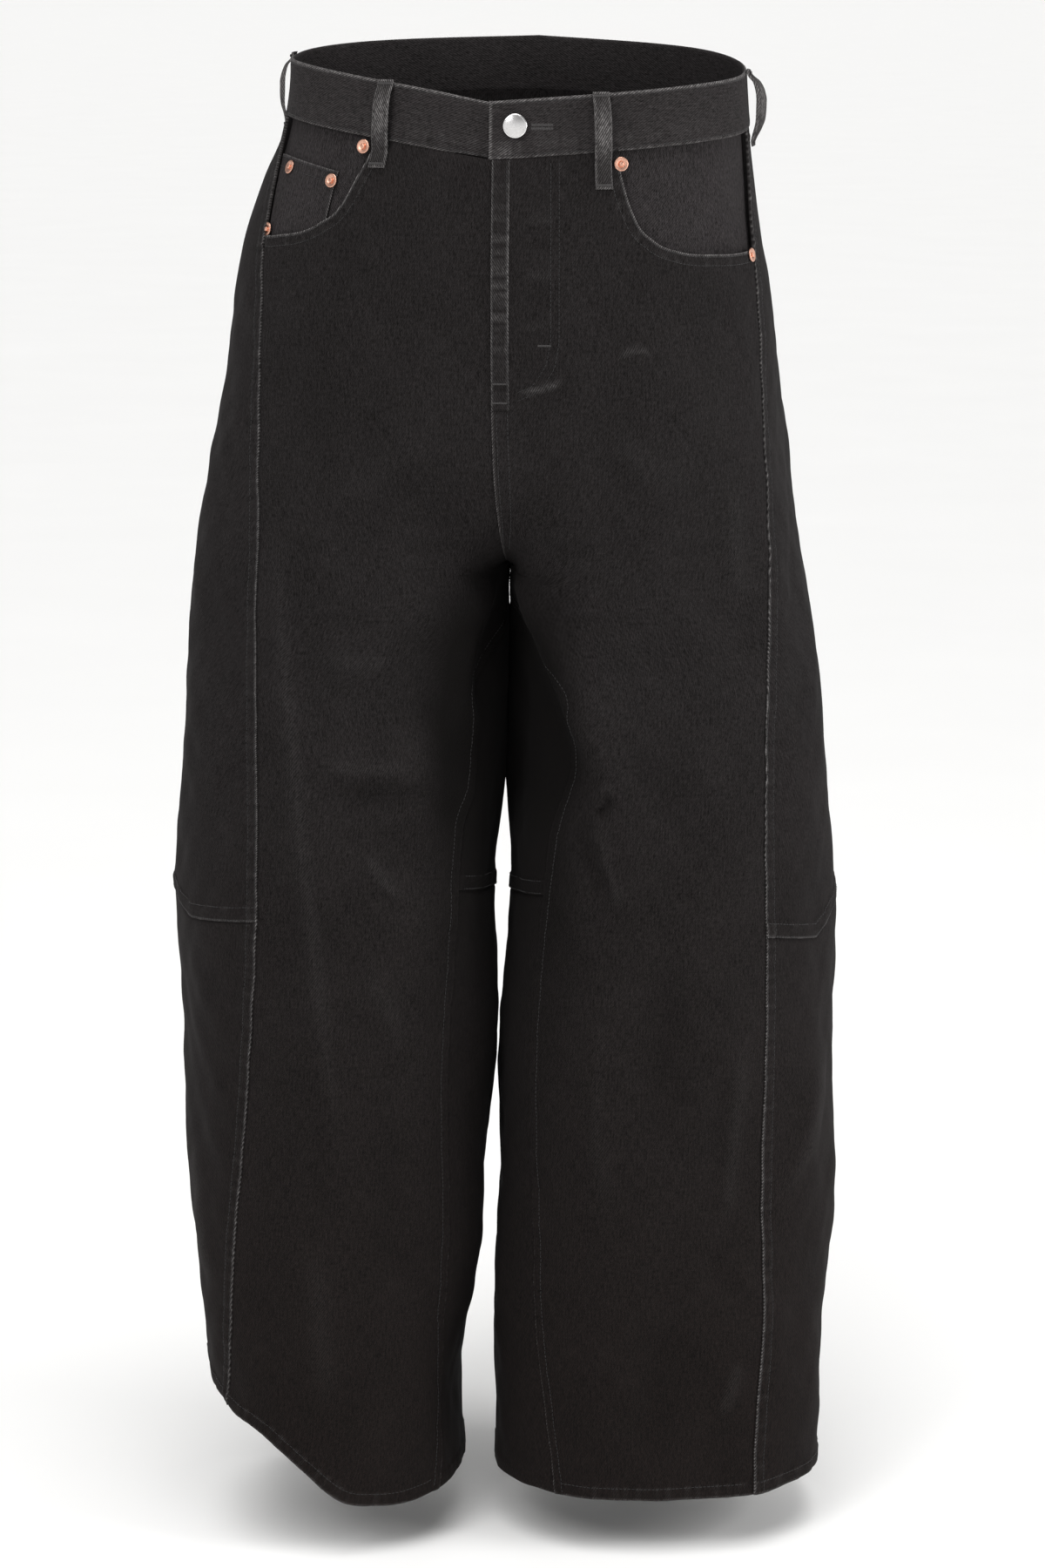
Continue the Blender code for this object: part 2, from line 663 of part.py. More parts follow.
def waistband(finish):
    """One strip: from the buttoned end at the centre front round the back and in behind that end."""
    tab = TAB_PAST_CENTRE / HALF_WAIST
    under = TAB_OVERLAP / HALF_WAIST
    sink_from = 0.075
    outer = []
    inner = []
    left_part = np.concatenate([[-tab], np.linspace(0.0, 1.0, 27)])
    right_part = np.linspace(1.0, sink_from, 22)[1:]
    behind = np.linspace(sink_from, -under, 10)[1:]
    shares = (0.0, 0.5, 1.0)
    for around in left_part:
        outer.append([across_front("left", around, BAND_PROUD, k) for k in shares])
        inner.append([across_front("left", around, BAND_PROUD - BAND_THICKNESS, k) for k in shares])
    for around in np.concatenate([right_part, behind]):
        sunk = float(ease((sink_from - around) / 0.06))
        lift = BAND_PROUD - sunk * (BAND_THICKNESS + SEAM_GAP)
        inset = 0.02 * sunk
        levels = [inset + (1 - 2 * inset) * k for k in shares]
        outer.append([across_front("right", around, lift, k) for k in levels])
        inner.append([across_front("right", around, lift - BAND_THICKNESS, k) for k in levels])
    return wall("waistband", np.array(outer), np.array(inner), finish, flip=True)


def fly(finish):
    """Doubled edge of the front opening, lying on the wearer's left panel beside the centre front."""
    around, height = front_grid("left")
    around = around[:FLY_ROWS, :2]
    height = height[:FLY_ROWS, :2]
    outer = surface("left", around, height, SEAM_GAP + FLY_THICKNESS)
    inner = surface("left", around, height, SEAM_GAP)
    return wall("fly", outer, inner, finish, flip=True)


# ---------------------------------------------------------------- belt loops

def belt_loop(name, side, around, drop, stand, foot, finish):
    """A strip over the waistband, sewn above and below it and standing clear between.

    drop is how far it runs on below the band, foot how far its lower end is off the panel.
    """
    across = np.linspace(-0.5, 0.5, 3)
    band_low = float(waist_line(side, np.array(around)))
    band_top = band_low + BAND_HEIGHT
    on_band = BAND_PROUD + SEAM_GAP
    profile = (
        (band_top + 0.0012, on_band + 0.0002),
        (band_top - 0.0030, on_band + 0.0012),
        (band_top - 0.0085, on_band + stand * 0.72),
        (band_top - 0.0150, on_band + stand),
        (band_low + 0.0120, on_band + stand),
        (band_low + 0.0030, on_band + stand * 0.80),
        (band_low - 0.0060, foot + stand * 0.25),
        (band_low - 0.0100, foot + 0.0002),
        (band_low - drop, foot),
    )
    step = 0.002
    chord = form(side, around + step, band_low) - form(side, around - step, band_low)
    width = LOOP_WIDTH * 2 * step / np.linalg.norm(chord)
    outer = []
    inner = []
    for height, lift in profile:
        place = around + width * across
        outer.append(surface(side, place, height, lift + LOOP_THICKNESS))
        inner.append(surface(side, place, height, lift))
    return wall(name, np.array(outer), np.array(inner), finish, flip=side == "left")


# ---------------------------------------------------------------- metal pieces

def turned(name, profile, centre, normal, segments, finish):
    """A solid of revolution: profile is (radius, height) from the axis below to the axis above."""
    normal = np.asarray(normal) / np.linalg.norm(normal)
    side_way = np.cross((0.0, 0.0, 1.0), normal)
    side_way = side_way / np.linalg.norm(side_way)
    up_way = np.cross(normal, side_way)
    vertices = []
    faces = []
    for radius, height in profile[1:-1]:
        for k in range(segments):
            turn = 2 * math.pi * k / segments
            ring = side_way * math.cos(turn) + up_way * math.sin(turn)
            vertices.append(centre + ring * radius + normal * height)
    rings = len(profile) - 2
    foot = len(vertices)
    vertices.append(centre + normal * profile[0][1])
    head = len(vertices)
    vertices.append(centre + normal * profile[-1][1])
    for k in range(segments):
        after = (k + 1) % segments
        faces.append((foot, after, k))
        for ring in range(rings - 1):
            low = ring * segments
            high = low + segments
            faces.append((low + k, low + after, high + after, high + k))
        top = (rings - 1) * segments
        faces.append((top + k, top + after, head))
    return add_object(name, vertices, faces, finish)


def button(finish):
    side = "left"
    height = 0.0018
    around = around_at_x(side, np.array(height), -0.0009, 0.0, 0.5)
    centre = surface(side, around, height, BAND_PROUD + SEAM_GAP)
    normal = outward(side, np.array(around), np.array(height))
    r = BUTTON_RADIUS
    profile = ((0, 0.0), (0.0042, 0.0), (0.0042, 0.0013), (r - 0.0008, 0.0015), (r, 0.0022), (r, 0.0030),
               (r - 0.0007, 0.0037), (r - 0.0016, 0.0034), (r * 0.45, 0.0040), (0, 0.0042))
    return turned("button", profile, centre, normal, 20, finish)


def rivet(name, side, x, height, lift, finish):
    around = around_at_x(side, np.array(height), x, 0.02, 0.5)
    centre = surface(side, around, height, lift + SEAM_GAP)
    normal = outward(side, around, np.array(height))
    r = RIVET_RADIUS
    profile = ((0, 0.0), (r, 0.0), (r, 0.0005), (r - 0.0007, 0.0011), (r - 0.0022, 0.0010),
               (0.0019, 0.0008), (0.0016, 0.0018), (0.0007, 0.0023), (0, 0.0024))
    return turned(name, profile, centre, normal, 12, finish)


# ---------------------------------------------------------------- the whole garment

def build():
    for old in list(bpy.data.objects):
        bpy.data.objects.remove(old, do_unlink=True)

    denim = material("denim", DENIM, 0.88)
    worn_denim = material("worn_denim", WORN_DENIM, 0.88)
    steel = material("steel", STEEL, 0.32, 1.0)
    copper = material("copper", COPPER, 0.38, 1.0)

    for side in ("left", "right"):
        front_panel(side, denim)
        back_upper(side, denim)
        back_lower(side, denim)
        pocket_facing(side, denim)
    coin_pocket(denim)
    waistband(denim)
    fly(denim)

    for side, x, drop in (("left", 0.0600, 0.026), ("right", -0.0945, 0.020)):
        around = float(around_at_x(side, np.array(0.0), x, 0.02, 0.5))
        belt_loop(f"belt_loop_front_{side}", side, around, drop, LOOP_STAND, 0.0008, worn_denim)
        belt_loop(f"belt_loop_side_{side}", side, 0.515, 0.014, LOOP_STAND + 0.002, 0.0016, worn_denim)

    button(steel)
    rivet("rivet_mouth_left", "left", 0.0738, -0.0250, 0.0, copper)
    rivet("rivet_side_left", "left", 0.1700, -0.0935, 0.0, copper)
    rivet("rivet_mouth_right", "right", -0.1095, -0.0140, 0.0, copper)
    rivet("rivet_side_right", "right", -0.1815, -0.0760, 0.0, copper)
    rivet("rivet_coin_inner", "right", -0.1345, -0.0385, COIN_LIFT, copper)
    rivet("rivet_coin_outer", "right", -0.1665, -0.0305, COIN_LIFT, copper)


build()
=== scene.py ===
import math
import random

import bpy
import numpy as np
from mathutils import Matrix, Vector


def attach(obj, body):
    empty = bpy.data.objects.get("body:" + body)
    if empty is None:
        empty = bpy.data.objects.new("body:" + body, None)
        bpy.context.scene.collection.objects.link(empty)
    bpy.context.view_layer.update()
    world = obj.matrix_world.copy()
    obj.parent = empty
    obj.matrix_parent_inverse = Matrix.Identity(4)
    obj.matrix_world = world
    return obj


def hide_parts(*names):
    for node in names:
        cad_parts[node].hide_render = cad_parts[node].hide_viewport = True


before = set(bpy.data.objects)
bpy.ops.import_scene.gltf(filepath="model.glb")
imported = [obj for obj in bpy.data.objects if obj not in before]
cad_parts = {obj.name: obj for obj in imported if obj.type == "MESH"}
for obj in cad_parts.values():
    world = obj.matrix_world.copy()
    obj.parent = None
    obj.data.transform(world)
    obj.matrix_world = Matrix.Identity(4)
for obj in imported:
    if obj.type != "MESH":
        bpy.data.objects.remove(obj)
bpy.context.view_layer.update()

# ---------------------------------------------------------------- driving sizes, in metres

CLOTH = 0.0016                # wall of one panel
SEAM_GAP = 0.0003             # clear space between neighbouring pieces
JOIN = 0.00002                # between the shown edges of two joined panels
SHELL = 0.0012                # wall of a shown panel
INTO_BAND = 0.0040            # how far a panel's top runs on between the layers of the waistband

BAND_HEIGHT = 0.041           # waistband
BAND_THICKNESS = 0.0030
BAND_PROUD = 0.0009           # how far its face stands out from the panels
TAB_PAST_CENTRE = 0.002       # the buttoned end, past the centre front
TAB_OVERLAP = 0.045           # the under end, behind the buttoned one
HALF_WAIST = 0.470            # round one side of the waist, from centre front to centre back

CROTCH_HEIGHT = -0.325
CROTCH_RISE_FRONT = 0.090     # height over which the front seam turns in under the body
CROTCH_RISE_BACK = 0.140
LEG_PARTS_BELOW = 0.260       # how far below the crotch the faces begin to open into one body
SEAM_REACH = 0.13             # share of the way round that the crotch seam pulls in
HEM_HEIGHT = -1.027

LOOP_WIDTH = 0.012            # belt loops
LOOP_SHOWN = 0.0021           # thickness of a loop: three layers of cloth at its edges
LOOP_STAND = 0.0062           # clear space behind a loop's middle

POCKET_CLOTH = 0.0012         # coin pocket and facings
LAYER_GAP = 0.0007            # clear space between the front panel and each layer behind it
FACING_MARGIN = 0.016         # how far a facing runs on below the pocket's mouth

FLY_WIDTH = 0.0130
FLY_THICKNESS = 0.0011

BUTTON_RADIUS = 0.0087
RIVET_RADIUS = 0.0051

# ---------------------------------------------------------------- tables

class Table:
    """Named columns over a key column, joined by a smooth curve through the rows."""

    def __init__(self, columns, rows):
        data = np.array(sorted(rows), dtype=float)
        self.columns = columns.split()[1:]
        self.key = data[:, 0]
        self.values = data[:, 1:]
        self.slopes = np.gradient(self.values, self.key, axis=0)

    def at(self, key):
        key = np.clip(np.asarray(key, dtype=float), self.key[0], self.key[-1])
        low = np.clip(np.searchsorted(self.key, key) - 1, 0, len(self.key) - 2)
        span = self.key[low + 1] - self.key[low]
        t = ((key - self.key[low]) / span)[..., None]
        span = span[..., None]
        start = (1 + 2 * t) * (1 - t) ** 2 * self.values[low]
        start = start + t * (1 - t) ** 2 * span * self.slopes[low]
        end = t ** 2 * (3 - 2 * t) * self.values[low + 1]
        end = end + t ** 2 * (t - 1) * span * self.slopes[low + 1]
        blended = start + end
        return {name: blended[..., i] for i, name in enumerate(self.columns)}


# The middle line between the two halves, and how far each level is turned about it.
SPINE = Table("height centre turn", [
    (0.070, 0.000, -8.6),
    (0.000, 0.000, -8.4),
    (-0.100, -0.001, -8.0),
    (-0.180, -0.002, -7.4),
    (-0.256, -0.003, -5.8),
    (-0.325, -0.005, -3.4),
    (-0.445, -0.008, -0.8),
    (-0.574, -0.0105, 0.0),
    (-0.740, -0.0168, 0.0),
    (-0.881, -0.0240, 0.0),
    (-0.960, -0.0295, 0.0),
    (-1.047, -0.0285, 0.0),
])

# Half widths and depths of each level, from that middle line.
# outer, inner: x of the two sides of the leg. front, back: y of its two faces. widest: y of its sides.
# bow: how square the corners are, 2 is an ellipse, for the outer and the inner side.
SECTION_COLUMNS = "height outer inner front back widest outer_bow inner_bow"

SECTIONS = {
    "left": Table(SECTION_COLUMNS, [
        (0.070, 0.1660, 0.0005, -0.116, 0.112, 0.004, 2.25, 2.3),
        (0.020, 0.1685, 0.0005, -0.119, 0.116, 0.004, 2.25, 2.3),
        (-0.020, 0.1720, 0.0005, -0.121, 0.122, 0.004, 2.25, 2.3),
        (-0.060, 0.1775, 0.0005, -0.124, 0.131, 0.006, 2.30, 2.3),
        (-0.120, 0.1875, 0.0005, -0.128, 0.143, 0.008, 2.35, 2.3),
        (-0.200, 0.1980, 0.0005, -0.132, 0.150, 0.010, 2.40, 2.6),
        (-0.285, 0.2130, 0.0006, -0.134, 0.146, 0.010, 2.40, 2.9),
        (-0.338, 0.2240, 0.0007, -0.135, 0.140, 0.008, 2.40, 3.0),
        (-0.404, 0.2360, 0.0008, -0.136, 0.137, 0.006, 2.30, 3.0),
        (-0.485, 0.2460, 0.0012, -0.136, 0.134, 0.004, 2.10, 2.9),
        (-0.574, 0.2535, 0.0038, -0.135, 0.131, 0.002, 1.95, 2.7),
        (-0.670, 0.2580, 0.0022, -0.133, 0.126, 0.000, 1.95, 2.6),
        (-0.747, 0.2610, 0.0027, -0.131, 0.121, -0.002, 2.05, 2.6),
        (-0.881, 0.2650, 0.0058, -0.129, 0.111, -0.006, 2.30, 2.6),
        (-0.960, 0.2665, 0.0116, -0.128, 0.104, -0.009, 2.45, 2.5),
        (-1.047, 0.2610, 0.0119, -0.128, 0.097, -0.012, 2.60, 2.4),
    ]),
    "right": Table(SECTION_COLUMNS, [
        (0.070, 0.1660, 0.0005, -0.116, 0.112, 0.004, 2.25, 2.3),
        (0.020, 0.1680, 0.0005, -0.119, 0.116, 0.004, 2.25, 2.3),
        (-0.010, 0.1740, 0.0005, -0.121, 0.121, 0.004, 2.25, 2.3),
        (-0.040, 0.1875, 0.0005, -0.123, 0.128, 0.006, 2.30, 2.3),
        (-0.070, 0.1975, 0.0005, -0.125, 0.135, 0.008, 2.35, 2.3),
        (-0.128, 0.2095, 0.0005, -0.128, 0.144, 0.009, 2.35, 2.4),
        (-0.200, 0.2210, 0.0005, -0.132, 0.150, 0.010, 2.40, 2.6),
        (-0.285, 0.2330, 0.0006, -0.134, 0.146, 0.010, 2.40, 2.9),
        (-0.338, 0.2385, 0.0007, -0.135, 0.140, 0.008, 2.40, 3.1),
        (-0.404, 0.2435, 0.0008, -0.136, 0.137, 0.006, 2.25, 3.1),
        (-0.485, 0.2490, 0.0010, -0.136, 0.134, 0.004, 2.05, 3.0),
        (-0.574, 0.2505, 0.0045, -0.135, 0.131, 0.002, 1.90, 2.8),
        (-0.670, 0.2460, 0.0022, -0.133, 0.126, 0.000, 1.90, 2.6),
        (-0.747, 0.2395, 0.0028, -0.131, 0.121, -0.002, 1.95, 2.6),
        (-0.881, 0.2240, 0.0062, -0.130, 0.111, -0.006, 2.10, 2.6),
        (-0.960, 0.2080, 0.0130, -0.131, 0.104, -0.009, 2.30, 2.5),
        (-1.047, 0.2000, 0.0113, -0.132, 0.097, -0.012, 2.50, 2.4),
    ]),
}

# x of the seams that show on the front of each leg.
SEAM_COLUMNS = "height outer_seam inner_seam"
SEAMS = {
    "left": Table(SEAM_COLUMNS, [
        (0.000, 0.1670, 0.040),
        (-0.080, 0.1715, 0.040),
        (-0.172, 0.1810, 0.040),
        (-0.261, 0.1847, 0.040),
        (-0.416, 0.1841, 0.0385),
        (-0.502, 0.1842, 0.0290),
        (-0.600, 0.1860, 0.0172),
        (-0.745, 0.1852, 0.0131),
        (-0.882, 0.1850, 0.0152),
        (-0.950, 0.1815, 0.0225),
        (-1.040, 0.1796, 0.0313),
    ]),
    "right": Table(SEAM_COLUMNS, [
        (0.010, -0.1670, -0.030),
        (-0.064, -0.1805, -0.030),
        (-0.159, -0.1874, -0.030),
        (-0.287, -0.1885, -0.030),
        (-0.416, -0.1889, -0.0330),
        (-0.470, -0.1893, -0.0310),
        (-0.518, -0.1896, -0.0404),
        (-0.610, -0.1920, -0.0470),
        (-0.745, -0.2045, -0.0509),
        (-0.882, -0.2140, -0.0527),
        (-0.950, -0.2185, -0.0545),
        (-1.040, -0.2250, -0.0620),
    ]),
}
INSEAM_SHOWS_BELOW = -0.420       # above this the inner seam runs back to the crotch

# Height of the seam behind the knee at the outer side, the front outer seam and the front inner seam.
KNEE_SEAM = {
    "left": {"side": -0.578, "outer_seam": -0.604, "inner_seam": -0.560},
    "right": {"side": -0.576, "outer_seam": -0.588, "inner_seam": -0.556},
}

# Mouth of each front pocket: x on the front and height, from the waistband to the side seam.
POCKET_MOUTH = {
    "left": Table("x height", [
        (0.0735, -0.0100),
        (0.0745, -0.0250),
        (0.0770, -0.0415),
        (0.0828, -0.0632),
        (0.0942, -0.0789),
        (0.1101, -0.0869),
        (0.1358, -0.0905),
        (0.1596, -0.0906),
        (0.1760, -0.0878),
    ]),
    "right": Table("x height", [
        (-0.1085, 0.0000),
        (-0.1110, -0.0130),
        (-0.1171, -0.0330),
        (-0.1237, -0.0529),
        (-0.1386, -0.0696),
        (-0.1596, -0.0782),
        (-0.1803, -0.0752),
        (-0.1860, -0.0667),
    ]),
}
POCKET_CORNER = {"left": 0.0740, "right": -0.1095}

# Upper edge of the coin pocket, on the wearer's right, from its inner corner to the side seam.
COIN_INNER_X = -0.1290
COIN_TOP = {"inner": -0.0330, "outer": -0.0235}

# Height of the waistband's lower edge, from the centre front (0) by the side (0.5) to the back (1).
WAIST_LINE = {
    "left": Table("around height", [
        (0.00, -0.0220),
        (0.15, -0.0165),
        (0.30, -0.0110),
        (0.50, -0.0045),
        (0.75, 0.0105),
        (1.00, 0.0190),
    ]),
    "right": Table("around height", [
        (0.00, -0.0220),
        (0.14, -0.0095),
        (0.30, 0.0010),
        (0.50, 0.0070),
        (0.75, 0.0150),
        (1.00, 0.0190),
    ]),
}

# How far the hem is turned up, from the inner side (0) by the outer side (0.5) to the inner side (1).
HEM_RISE = {
    "left": Table("around rise", [(0.0, 0.0), (0.5, 0.0), (1.0, 0.0)]),
    "right": Table("around rise", [
        (0.000, 0.000),
        (0.100, -0.001),
        (0.200, -0.005),
        (0.245, 0.000),
        (0.300, 0.029),
        (0.340, 0.050),
        (0.383, 0.060),
        (0.430, 0.069),
        (0.500, 0.076),
        (0.600, 0.060),
        (0.720, 0.022),
        (0.820, 0.000),
        (1.000, 0.000),
    ]),
}

# The largest folds, on the front or the back of a leg: where each starts and ends (x, z), how wide it is,
# how far it stands out (or, when negative, sinks in), and whether one side stays out like a step.
FOLD_COLUMNS = ("leg", "face", "start", "end", "width", "depth", "step")
FOLDS = [dict(zip(FOLD_COLUMNS, row)) for row in (
    ("left", "front", (0.000, -0.325), (0.062, -0.505), 0.020, 0.016, True),
    ("left", "front", (0.062, -0.500), (0.066, -0.600), 0.016, -0.006, False),
    ("left", "front", (0.166, -0.250), (0.158, -0.420), 0.018, -0.004, False),
    ("left", "front", (0.160, -0.690), (0.150, -0.900), 0.020, -0.005, False),
    ("right", "front", (-0.182, -0.290), (-0.160, -0.580), 0.020, 0.005, False),
    ("right", "front", (-0.158, -0.580), (-0.132, -0.820), 0.020, 0.005, False),
    ("right", "front", (-0.155, -0.515), (-0.060, -0.530), 0.020, -0.005, False),
    ("right", "front", (-0.085, -0.560), (-0.045, -0.480), 0.018, -0.005, False),
    ("left", "back", (0.030, -0.335), (0.120, -0.430), 0.022, -0.007, False),
    ("right", "back", (-0.030, -0.335), (-0.125, -0.420), 0.022, -0.007, False),
    ("left", "back", (0.050, -0.500), (0.150, -0.545), 0.024, -0.006, False),
    ("right", "back", (-0.060, -0.520), (-0.165, -0.490), 0.024, -0.006, False),
    ("left", "back", (0.170, -0.640), (0.140, -0.880), 0.024, 0.006, False),
    ("right", "back", (-0.120, -0.650), (-0.150, -0.900), 0.024, 0.006, False),
)]

FOLD_FADE = 0.060                 # folds die out over this depth, towards the sides of the leg

SIGN = {"left": 1.0, "right": -1.0}


# ---------------------------------------------------------------- the form

def ease(t):
    """Smooth step from 0 to 1."""
    t = np.clip(t, 0.0, 1.0)
    return t * t * (3 - 2 * t)


def bowed(angle, bow):
    """Unit figure between an ellipse (bow 2) and a square: cosine and sine parts."""
    c = np.cos(angle)
    s = np.sin(angle)
    reach = (np.abs(c) ** bow + np.abs(s) ** bow) ** (-1.0 / bow)
    return c * reach, s * reach


def form(side, around, height):
    """Points of the smooth form, before its folds."""
    around, height = np.broadcast_arrays(np.asarray(around, float), np.asarray(height, float))
    row = SECTIONS[side].at(height)
    spine = SPINE.at(height)
    below = height < CROTCH_HEIGHT
    around = np.where((around > 1) & below, around - 1, around)
    angle = math.pi * (1 - 2 * around)
    in_front = np.sin(angle) > 0
    depth = np.where(in_front, row["widest"] - row["front"], row["back"] - row["widest"])

    leg_bow = np.where(np.cos(angle) > 0, row["outer_bow"], row["inner_bow"])
    across, along = bowed(angle, leg_bow)
    leg_x = (row["outer"] + row["inner"]) / 2 + (row["outer"] - row["inner"]) / 2 * across
    leg_y = row["widest"] - depth * along

    across, along = bowed(angle / 2, row["outer_bow"])
    body_depth = np.where(around < 0.5, row["widest"] - row["front"], row["back"] - row["widest"])
    body_x = row["outer"] * across
    body_y = row["widest"] - body_depth * along

    rise = np.where(around < 0.5, CROTCH_RISE_FRONT, CROTCH_RISE_BACK)
    climb = np.clip((height - CROTCH_HEIGHT) / rise, 0.0, 1.0)
    at_seam = np.sqrt(1 - (1 - climb) ** 2)
    opening = (height - CROTCH_HEIGHT + LEG_PARTS_BELOW) / (LEG_PARTS_BELOW + CROTCH_RISE_BACK)
    from_seam = ease(np.minimum(around, np.abs(1 - around)) / SEAM_REACH)
    body = at_seam + (np.maximum(ease(opening), at_seam) - at_seam) * from_seam
    x = np.maximum(leg_x * (1 - body) + body_x * body, JOIN / 2) * SIGN[side]
    y = leg_y * (1 - body) + body_y * body

    turn = np.radians(spine["turn"])
    turned_x = x * np.cos(turn) - y * np.sin(turn) + spine["centre"]
    turned_y = x * np.sin(turn) + y * np.cos(turn)
    return np.stack([turned_x, turned_y, height], axis=-1)


def outward(side, around, height):
    """Unit normals of the smooth form, pointing out of the garment."""
    step = 0.0005
    along = form(side, around + step, height) - form(side, around - step, height)
    up = form(side, around, height + step) - form(side, around, height - step)
    normal = np.cross(along, up) * SIGN[side]
    return normal / np.linalg.norm(normal, axis=-1, keepdims=True)


def face_shares(points):
    """How fully each point belongs to the front and to the back of the garment."""
    return {"front": ease(-points[..., 1] / FOLD_FADE), "back": ease(points[..., 1] / FOLD_FADE)}


def fold_depth(side, points):
    """How far the folds move each point out."""
    total = np.zeros(points.shape[:-1])
    facing = face_shares(points)
    flat = points[..., [0, 2]]
    for fold in FOLDS:
        if fold["leg"] != side:
            continue
        start = np.array(fold["start"])
        run = np.array(fold["end"]) - start
        length = np.linalg.norm(run)
        run = run / length
        offset = flat - start
        travelled = offset @ run / length
        aside = offset @ np.array([-run[1], run[0]])
        taper = ease(travelled / 0.25) * ease((1 - travelled) / 0.25)
        if fold["step"]:
            shape = -ease(0.5 - aside * SIGN[side] / (2 * fold["width"]))
            fade = np.exp(-((np.minimum(aside * SIGN[side], 0) / (4.0 * fold["width"])) ** 2))
            shape = shape * fade
        else:
            shape = np.exp(-((aside / fold["width"]) ** 2))
        total = total + fold["depth"] * shape * taper * facing[fold["face"]]
    return total


def surface(side, around, height, lift=0.0):
    """Points of the garment's face, moved out by lift."""
    around, height = np.broadcast_arrays(np.asarray(around, float), np.asarray(height, float))
    points = form(side, around, height)
    normal = outward(side, around, height)
    moved = fold_depth(side, points) + lift
    return points + normal * moved[..., None]


def around_at_x(side, height, x, low, high):
    """The place around the form, between low and high, where its face has this x."""
    height = np.asarray(height, float)
    low = np.full(height.shape, low)
    high = np.full(height.shape, high)
    for _ in range(26):
        middle = (low + high) / 2
        short = (form(side, middle, height)[..., 0] - x) * SIGN[side] < 0
        low = np.where(short, middle, low)
        high = np.where(short, high, middle)
    return (low + high) / 2


def outer_seam(side, height):
    """Around of the seam that runs down the front's outer side."""
    return around_at_x(side, height, SEAMS[side].at(height)["outer_seam"], 0.25, 0.52)


def inner_seam(side, height):
    """Around of the seam inside the leg: 0 down to the crotch, then round to the front of the leg."""
    seen = np.minimum(height, INSEAM_SHOWS_BELOW)
    shown = around_at_x(side, seen, SEAMS[side].at(seen)["inner_seam"], 0.0, 0.25)
    fall = (CROTCH_HEIGHT - height) / (CROTCH_HEIGHT - INSEAM_SHOWS_BELOW)
    return shown * ease(fall)


# ---------------------------------------------------------------- level lines

def waist_line(side, around):
    """Height of the waistband's lower edge."""
    return WAIST_LINE[side].at(np.abs(around))["height"]


def knee_line(side, around):
    """Height of the seam behind the knee, carried on across the front panel."""
    knee = KNEE_SEAM[side]
    wrapped = np.mod(around, 1.0)
    keys = np.array([0.0, 0.13, 0.42, 0.5, 0.75, 1.0])
    heights = np.array([knee["side"], knee["inner_seam"], knee["outer_seam"], knee["side"],
                        knee["side"] + 0.004, knee["side"]])
    return np.interp(wrapped, keys, heights)


def hem_line(side, around):
    """Height of the hem. The wearer's right one is turned up in a slant at its outer corner."""
    return HEM_HEIGHT + HEM_RISE[side].at(np.mod(around, 1.0))["rise"]


# ---------------------------------------------------------------- seams and edges as lines

LEVELS = np.linspace(-1.050, 0.070, 561)      # heights at which the seams' places are worked out
SEAM_SPACING = 0.004              # between the points of a line that runs down a leg
MOUTH_LEVEL = -0.05               # height at which x tells the place around in the pockets' tables
OUTER_PLACES = {side: outer_seam(side, LEVELS) for side in SIGN}
INNER_PLACES = {side: inner_seam(side, LEVELS) for side in SIGN}


def outer_at(side, height):
    return np.interp(height, LEVELS, OUTER_PLACES[side])


def inner_at(side, height):
    return np.interp(height, LEVELS, INNER_PLACES[side])


def per_metre(side, around, height):
    """Step around that is one metre long here."""
    step = 0.001
    chord = form(side, around + step, height) - form(side, around - step, height)
    return 2 * step / np.linalg.norm(chord, axis=-1)


def top_edge(side, around):
    return waist_line(side, around) - JOIN


def sewn_top(side, part, around):
    """Top of a panel, inside the waistband. By the buttoned end there is no band over the right panel."""
    hidden = ease((around - 0.080) / 0.030) if (side, part) == ("right", "front") else 1.0
    return top_edge(side, around) + INTO_BAND * hidden


def pocket_edge(side, around):
    """Top of the front panel: the waistband, or the pocket's mouth where that is lower."""
    waist = sewn_top(side, "front", around)
    x = form(side, around, np.full(np.shape(around), MOUTH_LEVEL))[..., 0]
    past_corner = (x - POCKET_CORNER[side]) * SIGN[side] > 0
    return np.where(past_corner, np.minimum(waist, POCKET_MOUTH[side].at(x)["height"]), waist)


def shifted(side, line, away):
    """The line moved sideways over the cloth, towards the centre front or down where away is positive."""
    around, height = line
    metres = per_metre(side, around, height)
    along = np.gradient(around) / metres
    down = np.gradient(height)
    length = np.hypot(along, down)
    return around + down / length * away * metres, height - along / length * away


def seam_down(places, side, high, low):
    """A line that runs down a leg, its around given at each height."""
    height = np.linspace(high, low, int((high - low) / SEAM_SPACING) + 2)
    return places(side, height), height


def seam_across(side, level, first, last, count):
    """A line that runs round a leg, its height given at each around."""
    around = np.linspace(first, last, count)
    return around, level(side, around)


def mouth_end(side):
    """Height at which the pocket's mouth meets the outer seam."""
    height = -0.08
    for _ in range(6):
        height = float(pocket_edge(side, np.array(float(outer_at(side, height)))))
    return height


def mouth_line(side):
    """The edge of the pocket's mouth, its points closer together where it is steep."""
    low = float(around_at_x(side, np.array(MOUTH_LEVEL), POCKET_CORNER[side], 0.0, 0.5))
    high = float(outer_at(side, mouth_end(side)))
    share = np.linspace(0.0, 1.0, 90) ** 2.2
    around = low + 0.0004 + (high - low) * share
    return around, pocket_edge(side, around)


def crotch_line():
    """The centre seam from low on the front, under the body, to low on the back."""
    down = CROTCH_HEIGHT + 0.00001 + 0.135 * np.linspace(1.0, 0.0, 90) ** 2
    return np.repeat([0.0, 1.0], 90), np.concatenate([down, down[::-1]])


